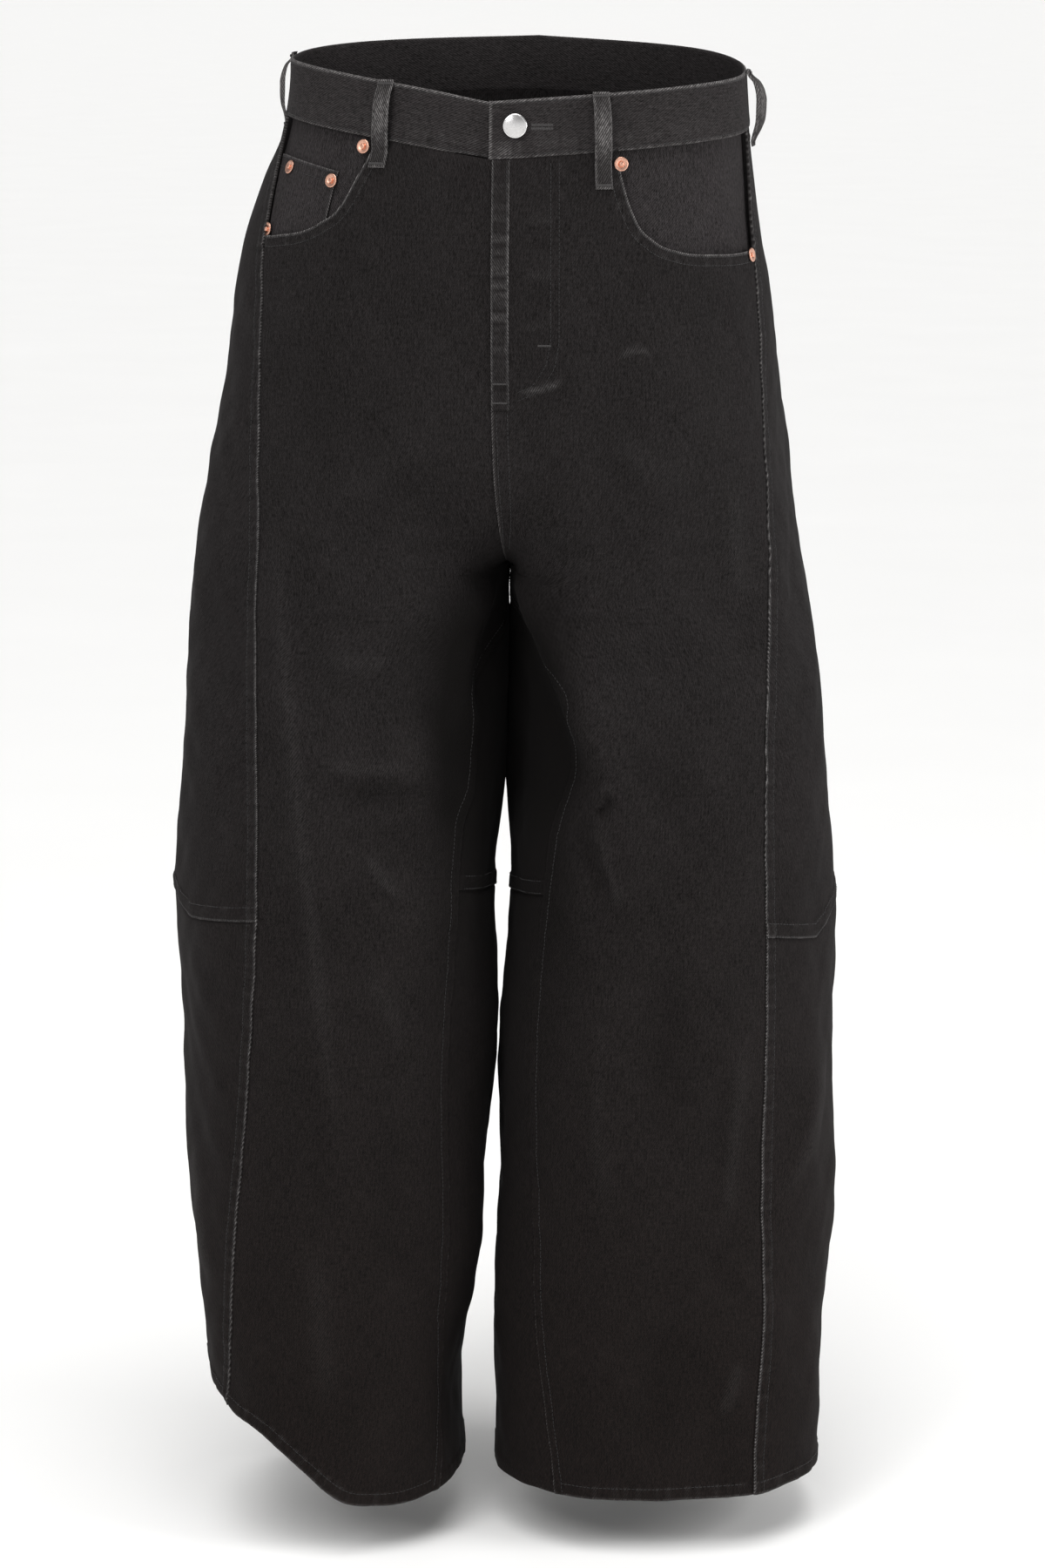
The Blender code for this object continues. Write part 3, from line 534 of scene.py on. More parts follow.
def knee_ends(side):
    """Around of the two ends of the knee seam."""
    first = float(outer_at(side, KNEE_SEAM[side]["outer_seam"]))
    last = 1 + float(inner_at(side, KNEE_SEAM[side]["inner_seam"]))
    return first, last


LINES = {}
for leg in SIGN:
    knee_first, knee_last = knee_ends(leg)
    hem_outer = float(hem_line(leg, outer_at(leg, HEM_HEIGHT + 0.05)))
    LINES[leg] = {
        "outer": seam_down(outer_at, leg, mouth_end(leg), hem_outer),
        "side": seam_down(outer_at, leg, float(waist_line(leg, np.array(0.46))), mouth_end(leg)),
        "inner": seam_down(inner_at, leg, CROTCH_HEIGHT - 0.012, HEM_HEIGHT),
        "knee": seam_across(leg, knee_line, knee_first, knee_last, 120),
        "hem": seam_across(leg, hem_line, 0.0, 1.0, 200),
        "waist": seam_across(leg, top_edge, 0.0, 1.0, 110),
        "mouth": mouth_line(leg),
        "centre_front": seam_down(lambda s, z: np.zeros_like(z), leg, -0.026, CROTCH_HEIGHT + 0.004),
        "centre_back": seam_down(lambda s, z: np.ones_like(z), leg, 0.015, CROTCH_HEIGHT + 0.004),
        "crotch": crotch_line(),
    }


def lengths_along(points):
    """Distance travelled at each point of a line."""
    return np.concatenate([[0.0], np.cumsum(np.linalg.norm(np.diff(points, axis=0), axis=1))])


def thinned(points, spacing):
    """The line by points that are evenly spaced, both ends kept."""
    lengths = lengths_along(points)
    count = max(int(lengths[-1] / spacing), 2)
    wanted = np.linspace(0.0, lengths[-1], count + 1)
    return np.stack([np.interp(wanted, lengths, points[:, k]) for k in range(3)], axis=-1)


CURVED_LINES = ("mouth", "crotch")
CURVED_SPACING = 0.0025
PLAIN_SPACING = 0.009
LINE_POINTS = {
    leg: {name: thinned(form(leg, *line), CURVED_SPACING if name in CURVED_LINES else PLAIN_SPACING)
          for name, line in lines.items()}
    for leg, lines in LINES.items()
}


def distance_to(points, line):
    """Distance from each point to a line of points, and how far along it the nearest place is."""
    flat = points.reshape(-1, points.shape[-1])
    nearest = np.full(len(flat), np.inf)
    along = np.zeros(len(flat))
    travelled = 0.0
    for start, end in zip(line[:-1], line[1:]):
        run = end - start
        length = np.linalg.norm(run)
        share = np.clip((flat - start) @ run / length ** 2, 0.0, 1.0)
        away = np.linalg.norm(flat - start - share[:, None] * run, axis=1)
        closer = away < nearest
        nearest = np.where(closer, away, nearest)
        along = np.where(closer, travelled + share * length, along)
        travelled += length
    return nearest.reshape(points.shape[:-1]), along.reshape(points.shape[:-1])


# ---------------------------------------------------------------- creases

# Finer creases than the form's own folds, as curves on one face of a leg: start, a middle point that pulls
# the curve, and end (x, z); width; how far it stands out or sinks in; how much it is rubbed pale; and the
# side on which it drops off sharply, -1 or 1 for lower or higher x and 0 for a soft crease.
CREASES = {
    ("right", "front"): (
        ((-0.177, -0.258), (-0.161, -0.500), (-0.131, -0.767), 0.0110, 0.0030, 0.10, 1),
        ((-0.150, -0.380), (-0.115, -0.388), (-0.080, -0.382), 0.0130, 0.0022, 0.10, 0),
        ((-0.146, -0.456), (-0.110, -0.466), (-0.070, -0.462), 0.0110, 0.0024, 0.12, 0),
        ((-0.146, -0.480), (-0.100, -0.486), (-0.050, -0.480), 0.0090, -0.0032, 0.00, 0),
        ((-0.112, -0.522), (-0.100, -0.545), (-0.082, -0.560), 0.0080, 0.0022, 0.16, 0),
        ((-0.010, -0.318), (-0.058, -0.390), (-0.026, -0.458), 0.0180, 0.0052, 0.05, 1),
        ((-0.060, -0.345), (-0.085, -0.410), (-0.060, -0.450), 0.0160, -0.0030, 0.00, 0),
        ((-0.120, -0.600), (-0.090, -0.640), (-0.070, -0.700), 0.0150, 0.0022, 0.08, 0),
        ((-0.096, -0.720), (-0.100, -0.800), (-0.090, -0.880), 0.0170, -0.0022, 0.00, 0),
        ((-0.150, -0.820), (-0.150, -0.900), (-0.140, -0.960), 0.0160, 0.0020, 0.08, 0),
        ((-0.030, -0.829), (-0.040, -0.920), (-0.054, -1.009), 0.0120, -0.0026, 0.00, 0),
        ((-0.251, -0.752), (-0.242, -0.820), (-0.230, -0.880), 0.0080, 0.0022, 0.22, 0),
        ((-0.170, -0.140), (-0.150, -0.180), (-0.145, -0.240), 0.0160, -0.0018, 0.00, 0),
        ((-0.060, -0.210), (-0.095, -0.250), (-0.140, -0.270), 0.0180, 0.0016, 0.05, 0),
    ),
    ("left", "front"): (
        ((-0.002, -0.302), (0.028, -0.385), (0.062, -0.473), 0.0230, 0.0080, 0.14, -1),
        ((0.060, -0.468), (0.072, -0.482), (0.050, -0.488), 0.0045, 0.0030, 0.10, 0),
        ((0.067, -0.476), (0.068, -0.490), (0.056, -0.497), 0.0040, -0.0030, 0.00, 0),
        ((0.050, -0.488), (0.048, -0.530), (0.068, -0.562), 0.0060, -0.0032, 0.00, 0),
        ((0.058, -0.500), (0.060, -0.535), (0.080, -0.570), 0.0075, 0.0022, 0.16, 0),
        ((0.075, -0.440), (0.100, -0.480), (0.140, -0.500), 0.0160, -0.0020, 0.00, 0),
        ((0.156, -0.250), (0.158, -0.300), (0.166, -0.350), 0.0100, 0.0022, 0.10, 0),
        ((0.165, -0.660), (0.168, -0.750), (0.154, -0.830), 0.0100, 0.0022, 0.12, 0),
        ((0.120, -0.600), (0.095, -0.680), (0.100, -0.760), 0.0170, -0.0022, 0.00, 0),
        ((0.060, -0.620), (0.055, -0.720), (0.070, -0.820), 0.0150, 0.0020, 0.06, 0),
        ((0.167, -0.915), (0.162, -0.940), (0.152, -0.965), 0.0080, 0.0020, 0.14, 0),
        ((0.228, -0.680), (0.232, -0.740), (0.204, -0.800), 0.0080, 0.0020, 0.18, 0),
        ((0.100, -0.880), (0.105, -0.940), (0.090, -1.000), 0.0160, -0.0020, 0.00, 0),
        ((0.060, -0.210), (0.090, -0.245), (0.135, -0.255), 0.0180, 0.0016, 0.06, 0),
        ((0.072, -0.163), (0.083, -0.150), (0.096, -0.160), 0.0040, 0.0008, 0.40, 0),
        # marks of the buttons behind the fly, and small gathers under the waistband
        ((0.002, -0.064), (0.014, -0.066), (0.028, -0.063), 0.0050, 0.0011, 0.14, 0),
        ((0.002, -0.083), (0.014, -0.085), (0.026, -0.082), 0.0050, -0.0009, 0.00, 0),
        ((0.001, -0.103), (0.013, -0.105), (0.028, -0.102), 0.0050, 0.0011, 0.14, 0),
        ((0.001, -0.121), (0.013, -0.124), (0.025, -0.120), 0.0045, -0.0009, 0.00, 0),
        ((0.000, -0.138), (0.012, -0.141), (0.027, -0.137), 0.0050, 0.0010, 0.10, 0),
        ((0.000, -0.186), (0.022, -0.184), (0.034, -0.176), 0.0040, 0.0009, 0.80, 0),
        ((0.003, -0.024), (0.004, -0.030), (0.003, -0.037), 0.0020, 0.0008, 0.10, 0),
        ((0.010, -0.024), (0.012, -0.031), (0.010, -0.040), 0.0022, 0.0009, 0.12, 0),
        ((0.019, -0.024), (0.020, -0.030), (0.019, -0.036), 0.0020, 0.0007, 0.08, 0),
        ((0.031, -0.022), (0.031, -0.029), (0.033, -0.038), 0.0024, 0.0008, 0.10, 0),
    ),
    ("left", "back"): (
        ((0.020, -0.325), (0.070, -0.370), (0.135, -0.355), 0.0110, -0.0034, 0.00, 0),
        ((0.025, -0.350), (0.075, -0.400), (0.130, -0.400), 0.0120, 0.0026, 0.10, 0),
        ((0.060, -0.520), (0.110, -0.535), (0.160, -0.520), 0.0110, 0.0026, 0.12, 0),
        ((0.050, -0.560), (0.100, -0.585), (0.165, -0.570), 0.0100, -0.0028, 0.00, 0),
        ((0.080, -0.640), (0.120, -0.655), (0.160, -0.635), 0.0120, 0.0022, 0.08, 0),
        ((0.180, -0.300), (0.190, -0.400), (0.180, -0.480), 0.0150, 0.0024, 0.06, 0),
        ((0.100, -0.720), (0.085, -0.820), (0.105, -0.930), 0.0160, 0.0026, 0.06, 0),
        ((0.190, -0.700), (0.185, -0.800), (0.200, -0.900), 0.0140, -0.0022, 0.00, 0),
        ((0.006, -0.120), (0.030, -0.160), (0.060, -0.170), 0.0150, -0.0016, 0.00, 0),
    ),
    ("right", "back"): (
        ((-0.018, -0.328), (-0.070, -0.365), (-0.140, -0.345), 0.0110, -0.0034, 0.00, 0),
        ((-0.030, -0.356), (-0.080, -0.398), (-0.135, -0.388), 0.0120, 0.0026, 0.10, 0),
        ((-0.070, -0.500), (-0.115, -0.525), (-0.170, -0.505), 0.0110, 0.0026, 0.12, 0),
        ((-0.060, -0.555), (-0.110, -0.570), (-0.175, -0.560), 0.0100, -0.0028, 0.00, 0),
        ((-0.085, -0.625), (-0.125, -0.650), (-0.170, -0.640), 0.0120, 0.0022, 0.08, 0),
        ((-0.190, -0.280), (-0.205, -0.390), (-0.195, -0.470), 0.0150, 0.0024, 0.06, 0),
        ((-0.120, -0.700), (-0.105, -0.820), (-0.125, -0.940), 0.0160, 0.0026, 0.06, 0),
        ((-0.200, -0.680), (-0.190, -0.790), (-0.170, -0.880), 0.0140, -0.0022, 0.00, 0),
        ((-0.006, -0.135), (-0.035, -0.170), (-0.070, -0.175), 0.0150, -0.0016, 0.00, 0),
    ),
}


CREASE_DEPTH = 1.6                # times the depths in the table
CREASE_RUBBING = 0.25             # times its rubbed shares
PAINTED_HOLLOW_SHADE = 60.0               # painted shade in a trough, for each metre of its depth
SHARP_SIDE = 0.28                 # width of a crease's sharp side, as a share of its soft one


def crease_curve(start, pull, end):
    t = np.linspace(0.0, 1.0, 14)[:, None]
    return (1 - t) ** 2 * np.array(start) + 2 * t * (1 - t) * np.array(pull) + t ** 2 * np.array(end)


def crease_relief(side, points):
    """How far the creases move each point out, how much they are rubbed, and how much their troughs are
    painted darker as shade.
    """
    total = np.zeros(points.shape[:-1])
    rubbed = np.zeros(points.shape[:-1])
    facing = face_shares(points)
    flat = points[..., [0, 2]]
    rows = [(face, row) for (leg, face), group in CREASES.items() if leg == side for row in group]
    for face, (start, pull, end, soft_width, depth, rubbing, sharp) in rows:
        curve = crease_curve(start, pull, end)
        away, along = distance_to(flat, curve)
        length = lengths_along(curve)[-1]
        taper = ease(along / length / 0.30) * ease((1 - along / length) / 0.30)
        width = soft_width
        if sharp:
            level = np.interp(flat[..., 1], curve[::-1, 1], curve[::-1, 0])
            past = (flat[..., 0] - level) * sharp > 0
            width = np.where(past, width * SHARP_SIDE, width)
        shape = np.exp(-((away / width) ** 2)) * taper * facing[face]
        total = total + CREASE_DEPTH * depth * shape
        ridge = np.exp(-((away / (soft_width * 0.55)) ** 2))
        rubbed = rubbed + CREASE_RUBBING * rubbing * ridge * taper * facing[face]
        # troughs are painted darker: painted shade, carried in the wear measure as values below 0
        if depth < 0:
            rubbed = rubbed - PAINTED_HOLLOW_SHADE * abs(depth) * shape
    return total, rubbed


# Soft unevenness of the whole cloth: length and height of each wave.
WAVES = ((0.230, 0.00110), (0.150, 0.00085), (0.095, 0.00060), (0.062, 0.00040), (0.040, 0.00022),
         (0.026, 0.00014), (0.017, 0.00008))


def unevenness(points):
    """Soft waves in the cloth, the same field for every piece, gone by the waistband."""
    draw = random.Random(11)
    total = np.zeros(points.shape[:-1])
    for length, height in WAVES:
        for _ in range(3):
            turn = draw.uniform(0.0, 2 * math.pi)
            lean = draw.uniform(-0.8, 0.8)
            phase = draw.uniform(0.0, 2 * math.pi)
            direction = np.array([math.cos(turn), math.sin(turn), lean])
            total = total + height * np.sin(points @ direction * 2 * math.pi / length + phase)
    return total * ease((-0.030 - points[..., 2]) / 0.120)


def ripple(along, seed):
    """Uneven small waves along a sewn line, between about -1 and 1."""
    draw = random.Random(seed)
    total = np.zeros_like(along)
    for length, share in ((0.0078, 0.40), (0.0113, 0.35), (0.0190, 0.25)):
        total = total + share * np.sin(along * 2 * math.pi / length + draw.uniform(0, 6.28))
    return total


SHOULDER = 0.0012                 # over which a folded edge falls away


def band(distance, width):
    """1 within the width of a folded edge, falling to 0 over its shoulder."""
    return 1 - ease((distance - width + SHOULDER) / SHOULDER)


def bell(distance, width):
    """1 at no distance, falling softly to nothing over about twice the width."""
    return np.exp(-((distance / width) ** 2))


# Sewn bands: width of the doubled cloth beside each seam, and how far it stands out.
OUTER_BAND = 0.0095
INNER_BAND = 0.0072
KNEE_BAND = 0.0120
HEM_BAND = 0.0110
MOUTH_BAND = 0.0085
CENTRE_BAND = 0.0085
BAND_RELIEF = 0.0008
PUCKER = 0.00050

# How much nearer the inner thighs come to each other than on the smooth form.
LEGS_CLOSER = Table("height nearer", (
    (-0.820, 0.0), (-0.640, 0.0013), (-0.520, 0.0018), (-0.480, 0.0034), (-0.445, 0.0040),
    (-0.400, 0.0046), (-0.370, 0.0040), (-0.350, 0.0024), (-0.335, 0.0012), (-0.325, 0.0),
))

# Painted shade on the inner faces of the legs, where they face each other: how much darker they are painted
# at each height.
PAINTED_SHADE_BETWEEN_LEGS = Table("height share", (
    (-1.030, 0.10), (-0.800, 0.20), (-0.640, 0.45), (-0.560, 0.75), (-0.345, 0.70), (-0.315, 0.0),
))

CROTCH_CLOSER = 0.0006            # how far each half moves in to meet the other at the crotch
CROTCH_REACH = 0.030              # folds and creases die out over this distance to the crotch seam
CROTCH_HELD_BELOW = -0.200
CROTCH_MOVED_BELOW = -0.265
HELD_OVER = 0.050                 # height over which each of these two sets in


def relief(side, part, points):
    """Creases, sewn relief, wear with the painted shade of the creases' troughs, and pucker of one panel at
    these points.
    """
    lines = LINE_POINTS[side]
    creased, wear = crease_relief(side, points)
    inside = ease((0.050 - np.abs(points[..., 0] - 0.002)) / 0.045)
    smooth = creased + unevenness(points) + LEGS_CLOSER.at(points[..., 2])["nearer"] * inside
    raised = np.zeros(points.shape[:-1])
    pucker = np.zeros(points.shape[:-1])

    def sewn(name, width, edge_wear, seed, height=BAND_RELIEF, pucker_share=1.0):
        nonlocal raised, wear, pucker
        away, along = distance_to(points, lines[name])
        on = band(away, width)
        waves = ripple(along, seed)
        raised = raised + height * on + PUCKER * pucker_share * waves * bell(away - width, 0.0045)
        raised = raised + PUCKER * 0.6 * pucker_share * waves * on
        wear = wear + edge_wear * bell(away, 0.0011) * (0.75 + 0.35 * waves)
        sewing = bell(away - width + 0.0012, 0.0008)
        raised = raised - 0.00030 * sewing
        wear = wear + 0.04 * on * np.clip(waves, 0, 1) + 0.07 * sewing * np.clip(waves + 0.4, 0, 1)
        pucker = pucker + on * pucker_share

    def joined(name, depth=0.0006):
        nonlocal raised
        away, _ = distance_to(points, lines[name])
        raised = raised - depth * bell(away, 0.0016)

    def gathered():
        """Small puckers where the panel is sewn into the waistband."""
        nonlocal raised
        away, along = distance_to(points, lines["waist"])
        raised = raised + 0.00065 * ripple(along * 0.7, 21) * bell(away - 0.005, 0.007)

    if part == "front":
        joined("outer")
        joined("waist")
        gathered()
        sewn("mouth", MOUTH_BAND, 0.75, 3, 0.0006, 0.8)
        sewn("inner", INNER_BAND, 0.30, 5)
        sewn("hem", HEM_BAND, 0.45, 7)
        if side == "left":
            below = ease((-0.180 - points[..., 2]) / 0.02)
            away, along = distance_to(points, lines["centre_front"])
            raised = raised + 0.0006 * band(away, 0.0060) * below
            wear = wear + 0.45 * bell(away, 0.0011) * (0.7 + 0.3 * ripple(along, 9)) * below
        else:
            joined("centre_front", 0.0005)
    else:
        joined("inner")
        sewn("outer", OUTER_BAND, 0.60, 13)
        sewn("side", OUTER_BAND, 0.45, 15)
        if part == "back_upper":
            joined("waist")
            gathered()
            sewn("knee", KNEE_BAND, 0.45, 17, 0.0009, 1.3)
            if side == "left":
                sewn("centre_back", CENTRE_BAND, 0.35, 19)
            else:
                joined("centre_back")
        else:
            joined("knee", 0.0008)
            sewn("hem", HEM_BAND, 0.45, 7)
    return smooth, raised, np.clip(wear, -0.5, 1.5), np.clip(pucker, 0.0, 1.0)


def cloth_face(side, part, around, height, lift=0.0):
    """Points of one panel's face with everything sewn and creased into it, and its wear (with painted shade
    in the creases' troughs and between the legs) and pucker.
    """
    around, height = np.broadcast_arrays(np.asarray(around, float), np.asarray(height, float))
    points = form(side, around, height)
    normal = outward(side, around, height)
    smooth, raised, wear, pucker = relief(side, part, points)
    from_crotch_seam, _ = distance_to(points, LINE_POINTS[side]["crotch"])
    held = (1 - ease(from_crotch_seam / CROTCH_REACH)) * ease((CROTCH_HELD_BELOW - height) / HELD_OVER)
    closer = CROTCH_CLOSER * held * ease((CROTCH_MOVED_BELOW - height) / HELD_OVER)
    points[..., 0] -= SIGN[side] * closer
    # painted shade: faces turned towards the other leg are painted darker, as shade between the legs
    inward = ease((-normal[..., 0] * SIGN[side] - 0.25) / 0.50)
    wear = wear - inward * PAINTED_SHADE_BETWEEN_LEGS.at(height)["share"]
    moved = (fold_depth(side, points) + smooth) * (1 - held) + raised + lift
    return points + normal * moved[..., None], normal, wear, pucker, raised


# ---------------------------------------------------------------- making meshes

def new_object(name, vertices, faces, finish, uv=None, **attributes):
    """A smooth-shaded object, with its cloth map and its measures at each point where they are given."""
    mesh = bpy.data.meshes.new(name)
    mesh.from_pydata(vertices, [], faces)
    mesh.materials.append(finish)
    for label, values in attributes.items():
        layer = mesh.attributes.new(label, "FLOAT", "POINT")
        layer.data.foreach_set("value", np.asarray(values, np.float32))
    if uv is not None:
        corner = np.zeros(len(mesh.loops), np.int32)
        mesh.loops.foreach_get("vertex_index", corner)
        layer = mesh.uv_layers.new(name="cloth")
        layer.data.foreach_set("uv", np.asarray(uv, np.float32)[corner].ravel())
    mesh.shade_smooth()
    mesh.set_sharp_from_angle(angle=math.radians(55))
    made = bpy.data.objects.new(name, mesh)
    bpy.context.scene.collection.objects.link(made)
    return made


def grid_faces(rows, columns):
    """Four-sided faces of a grid of points."""
    cell = np.arange(rows * columns).reshape(rows, columns)
    a, b = cell[:-1, :-1].ravel(), cell[:-1, 1:].ravel()
    c, d = cell[1:, 1:].ravel(), cell[1:, :-1].ravel()
    return np.stack([a, b, c, d], axis=-1)


def shell(name, outer, inner, finish, wear, pucker, flip=False, turned_weave=False, weave=None):
    """Closed thin shell between two grids of points, with a cloth map in metres."""
    rows, columns = outer.shape[:2]
    count = rows * columns
    vertices = np.concatenate([outer.reshape(-1, 3), inner.reshape(-1, 3)])
    top = grid_faces(rows, columns)
    cell = np.arange(count).reshape(rows, columns)
    edge = np.concatenate([cell[0], cell[1:, -1], cell[-1, -2::-1], cell[-2:0:-1, 0]])
    after = np.roll(edge, -1)
    rim = np.stack([after, edge, edge + count, after + count], axis=-1)
    faces = np.concatenate([top, top[:, ::-1] + count, rim])
    if flip:
        faces = faces[:, ::-1]
    across = np.linalg.norm(np.diff(outer, axis=1), axis=-1)
    u = np.concatenate([np.zeros((rows, 1)), np.cumsum(across, axis=1)], axis=1)
    u = u - u[:, columns // 2: columns // 2 + 1]
    down = np.linalg.norm(np.diff(outer, axis=0), axis=-1)
    v = -np.concatenate([np.zeros((1, columns)), np.cumsum(down, axis=0)], axis=0)
    v = np.broadcast_to(v[:, columns // 2: columns // 2 + 1], v.shape)
    if weave is not None:
        u, v = weave
    uv = np.stack([u, v], axis=-1).reshape(-1, 2)
    if turned_weave:
        uv = uv * np.array([-1.0, 1.0])
    # the wear measure holds rubbing above 0 and painted shade below 0
    return new_object(
        name, vertices.tolist(), faces.tolist(), finish, np.concatenate([uv, uv]),
        wear=np.concatenate([wear.ravel(), np.zeros(count)]),
        pucker=np.concatenate([pucker.ravel(), np.zeros(count)]),
    )


# Distances of the close columns from each edge of a panel, of the close rows from its top edge, and of those
# from its bottom one.
EDGE = np.array((0.0, 0.0006, 0.0013, 0.0022, 0.0036, 0.0055, 0.0075, 0.0095, 0.0115, 0.0140))
TOP_ROWS = (0.0, 0.0006, 0.0014, 0.0026, 0.0042, 0.0060, 0.0078, 0.0092, 0.0110)
HEM_ROWS = (0.0135, 0.0122, 0.0112, 0.0102, 0.0088, 0.0066, 0.0044, 0.0024, 0.0010, 0.0003)
ROWS_REACH = 0.014                # the rows follow a panel's top and bottom edges this far in
STEADY_ABOVE = -0.120             # above it the front's middle columns stand upright, beside the steep mouth
SETTLING = 7                      # rounds until each point's place and height agree


def edge_steps(width, spacing):
    """Columns of a strip of that width: close together at its edges, then evenly spaced."""
    inner = EDGE[-1]
    count = max(int((width - 2 * inner) / spacing), 4)
    return np.concatenate([EDGE[:-1], np.linspace(inner, width - inner, count), width - EDGE[-2::-1]])


def place_between(side, height, across, ends, width, steady=None):
    """Around for each column: across is in metres of a strip of that width, exact near both of its edges."""
    reach = EDGE[-1]
    first, last = ends(height)
    first = first + (JOIN / 2) * per_metre(side, first, height)
    last = last - (JOIN / 2) * per_metre(side, last, height)
    low = first + np.minimum(across, reach) * per_metre(side, first, height)
    high = last - np.minimum(width - across, reach) * per_metre(side, last, height)
    share = np.clip((across - reach) / (width - 2 * reach), 0.0, 1.0)
    inner_low = first + reach * per_metre(side, first, height)
    inner_high = last - reach * per_metre(side, last, height)
    if steady is not None:
        held = np.minimum(height, steady)
        held_first, held_last = ends(held)
        held_low = held_first + reach * per_metre(side, held_first, held)
        held_high = held_last - reach * per_metre(side, held_last, held)
        inner_low = held_low + (inner_low - held_low) * (1 - ease(share / 0.25))
        inner_high = held_high + (inner_high - held_high) * ease((share - 0.50) / 0.45)
    middle = inner_low + (inner_high - inner_low) * share
    return np.where(across <= reach, low, np.where(across >= width - reach, high, middle))


def solve(place, level, rows, columns):
    """Around and height of a grid of points whose columns follow place and whose rows follow level."""
    down, across = np.meshgrid(rows, columns, indexing="ij")
    height = np.full(down.shape, -0.5)
    for _ in range(SETTLING):
        around = place(height, across)
        height = level(around, down)
    return around, height


def panel_rows(*counts):
    """Row marks: (stretch number, share or distance) pairs, from the top edge to the bottom one."""
    marks = [(-1, distance) for distance in TOP_ROWS]
    for number, count in enumerate(counts):
        marks += [(number, share) for share in np.linspace(0.0, 1.0, count, endpoint=False)]
    return marks + [(len(counts), distance) for distance in HEM_ROWS]


def heights_of(marks, lines):
    """Height of every row mark in every column. lines are the level lines at each point, top to bottom."""
    top, bottom = lines[0], lines[-1]
    inner = [top - ROWS_REACH, *lines[1:-1], bottom + ROWS_REACH]
    height = np.empty(top.shape)
    for row, (number, value) in enumerate(marks):
        if number < 0:
            height[row] = top[row] - value
        elif number >= len(inner) - 1:
            height[row] = bottom[row] + value
        else:
            height[row] = inner[number][row] + (inner[number + 1][row] - inner[number][row]) * value
    return height


def panel(side, part, marks, columns, width, ends, levels, steady=None):
    """One panel's shell. ends gives its two seams at a height, levels its level lines at a place."""
    across = np.broadcast_to(columns, (len(marks), len(columns)))
    height = np.full(across.shape, -0.5)
    for _ in range(SETTLING):
        around = place_between(side, height, across, ends, width, steady)
        height = heights_of(marks, levels(around))
    first, last = ends(height)
    outer, normal, wear, pucker, raised = cloth_face(side, part, around, height)
    inner = outer - normal * (SHELL + np.maximum(raised, 0.0))[..., None]
    middle = (first + last) / 2
    u = (around - middle) / per_metre(side, (around + middle) / 2, height) * SIGN[side]
    return shell(f"denim_{part}_{side}", outer, inner, DENIM, wear, pucker, flip=side == "left",
                 weave=(u, height))


# ---------------------------------------------------------------- materials

def feed(tree, socket, value):
    """Give a socket a value or another node's output."""
    if isinstance(value, bpy.types.NodeSocket):
        tree.links.new(value, socket)
    else:
        socket.default_value = value


def node(tree, kind, inputs=(), **settings):
    """A new node. Each of its inputs is a value or another node's output."""
    made = tree.nodes.new(kind)
    for key, value in settings.items():
        setattr(made, key, value)
    for key, value in dict(inputs).items():
        feed(tree, made.inputs[key], value)
    return made


def maths(tree, operation, a, b=0.0, clamp=False):
    made = tree.nodes.new("ShaderNodeMath")
    made.operation = operation
    made.use_clamp = clamp
    feed(tree, made.inputs[0], a)
    feed(tree, made.inputs[1], b)
    return made.outputs[0]


def mixed(tree, share, a, b):
    """Colour a where the share is 0, and colour b where it is 1."""
    made = tree.nodes.new("ShaderNodeMix")
    made.data_type = "RGBA"
    for index, value in ((0, share), (6, a), (7, b)):
        feed(tree, made.inputs[index], value)
    return made.outputs[2]


def blank_material(name):
    """A new material, its tree and its surface shader."""
    made = bpy.data.materials.new(name)
    made.use_nodes = True
    tree = made.node_tree
    return made, tree, tree.nodes["Principled BSDF"]


TWILL_PITCH = 0.00150             # from one diagonal rib of the weave to the next
TWILL_SLOPE = 0.62                # how far the ribs climb across the cloth
ACROSS_RIBS = 0.85                # share of a level step that crosses the ribs
CRIMP_PITCH = 0.0034              # small crimps along a puckered seam
DARKER_FROM = -0.40               # heights between which the legs are painted darker towards the hems, as painted shade
DARKER_TO = -0.95
BLACK = (0.0034, 0.0028, 0.0026, 1.0)
CHARCOAL = (0.0335, 0.0296, 0.0300, 1.0)
RUBBED = (0.2600, 0.2480, 0.2450, 1.0)


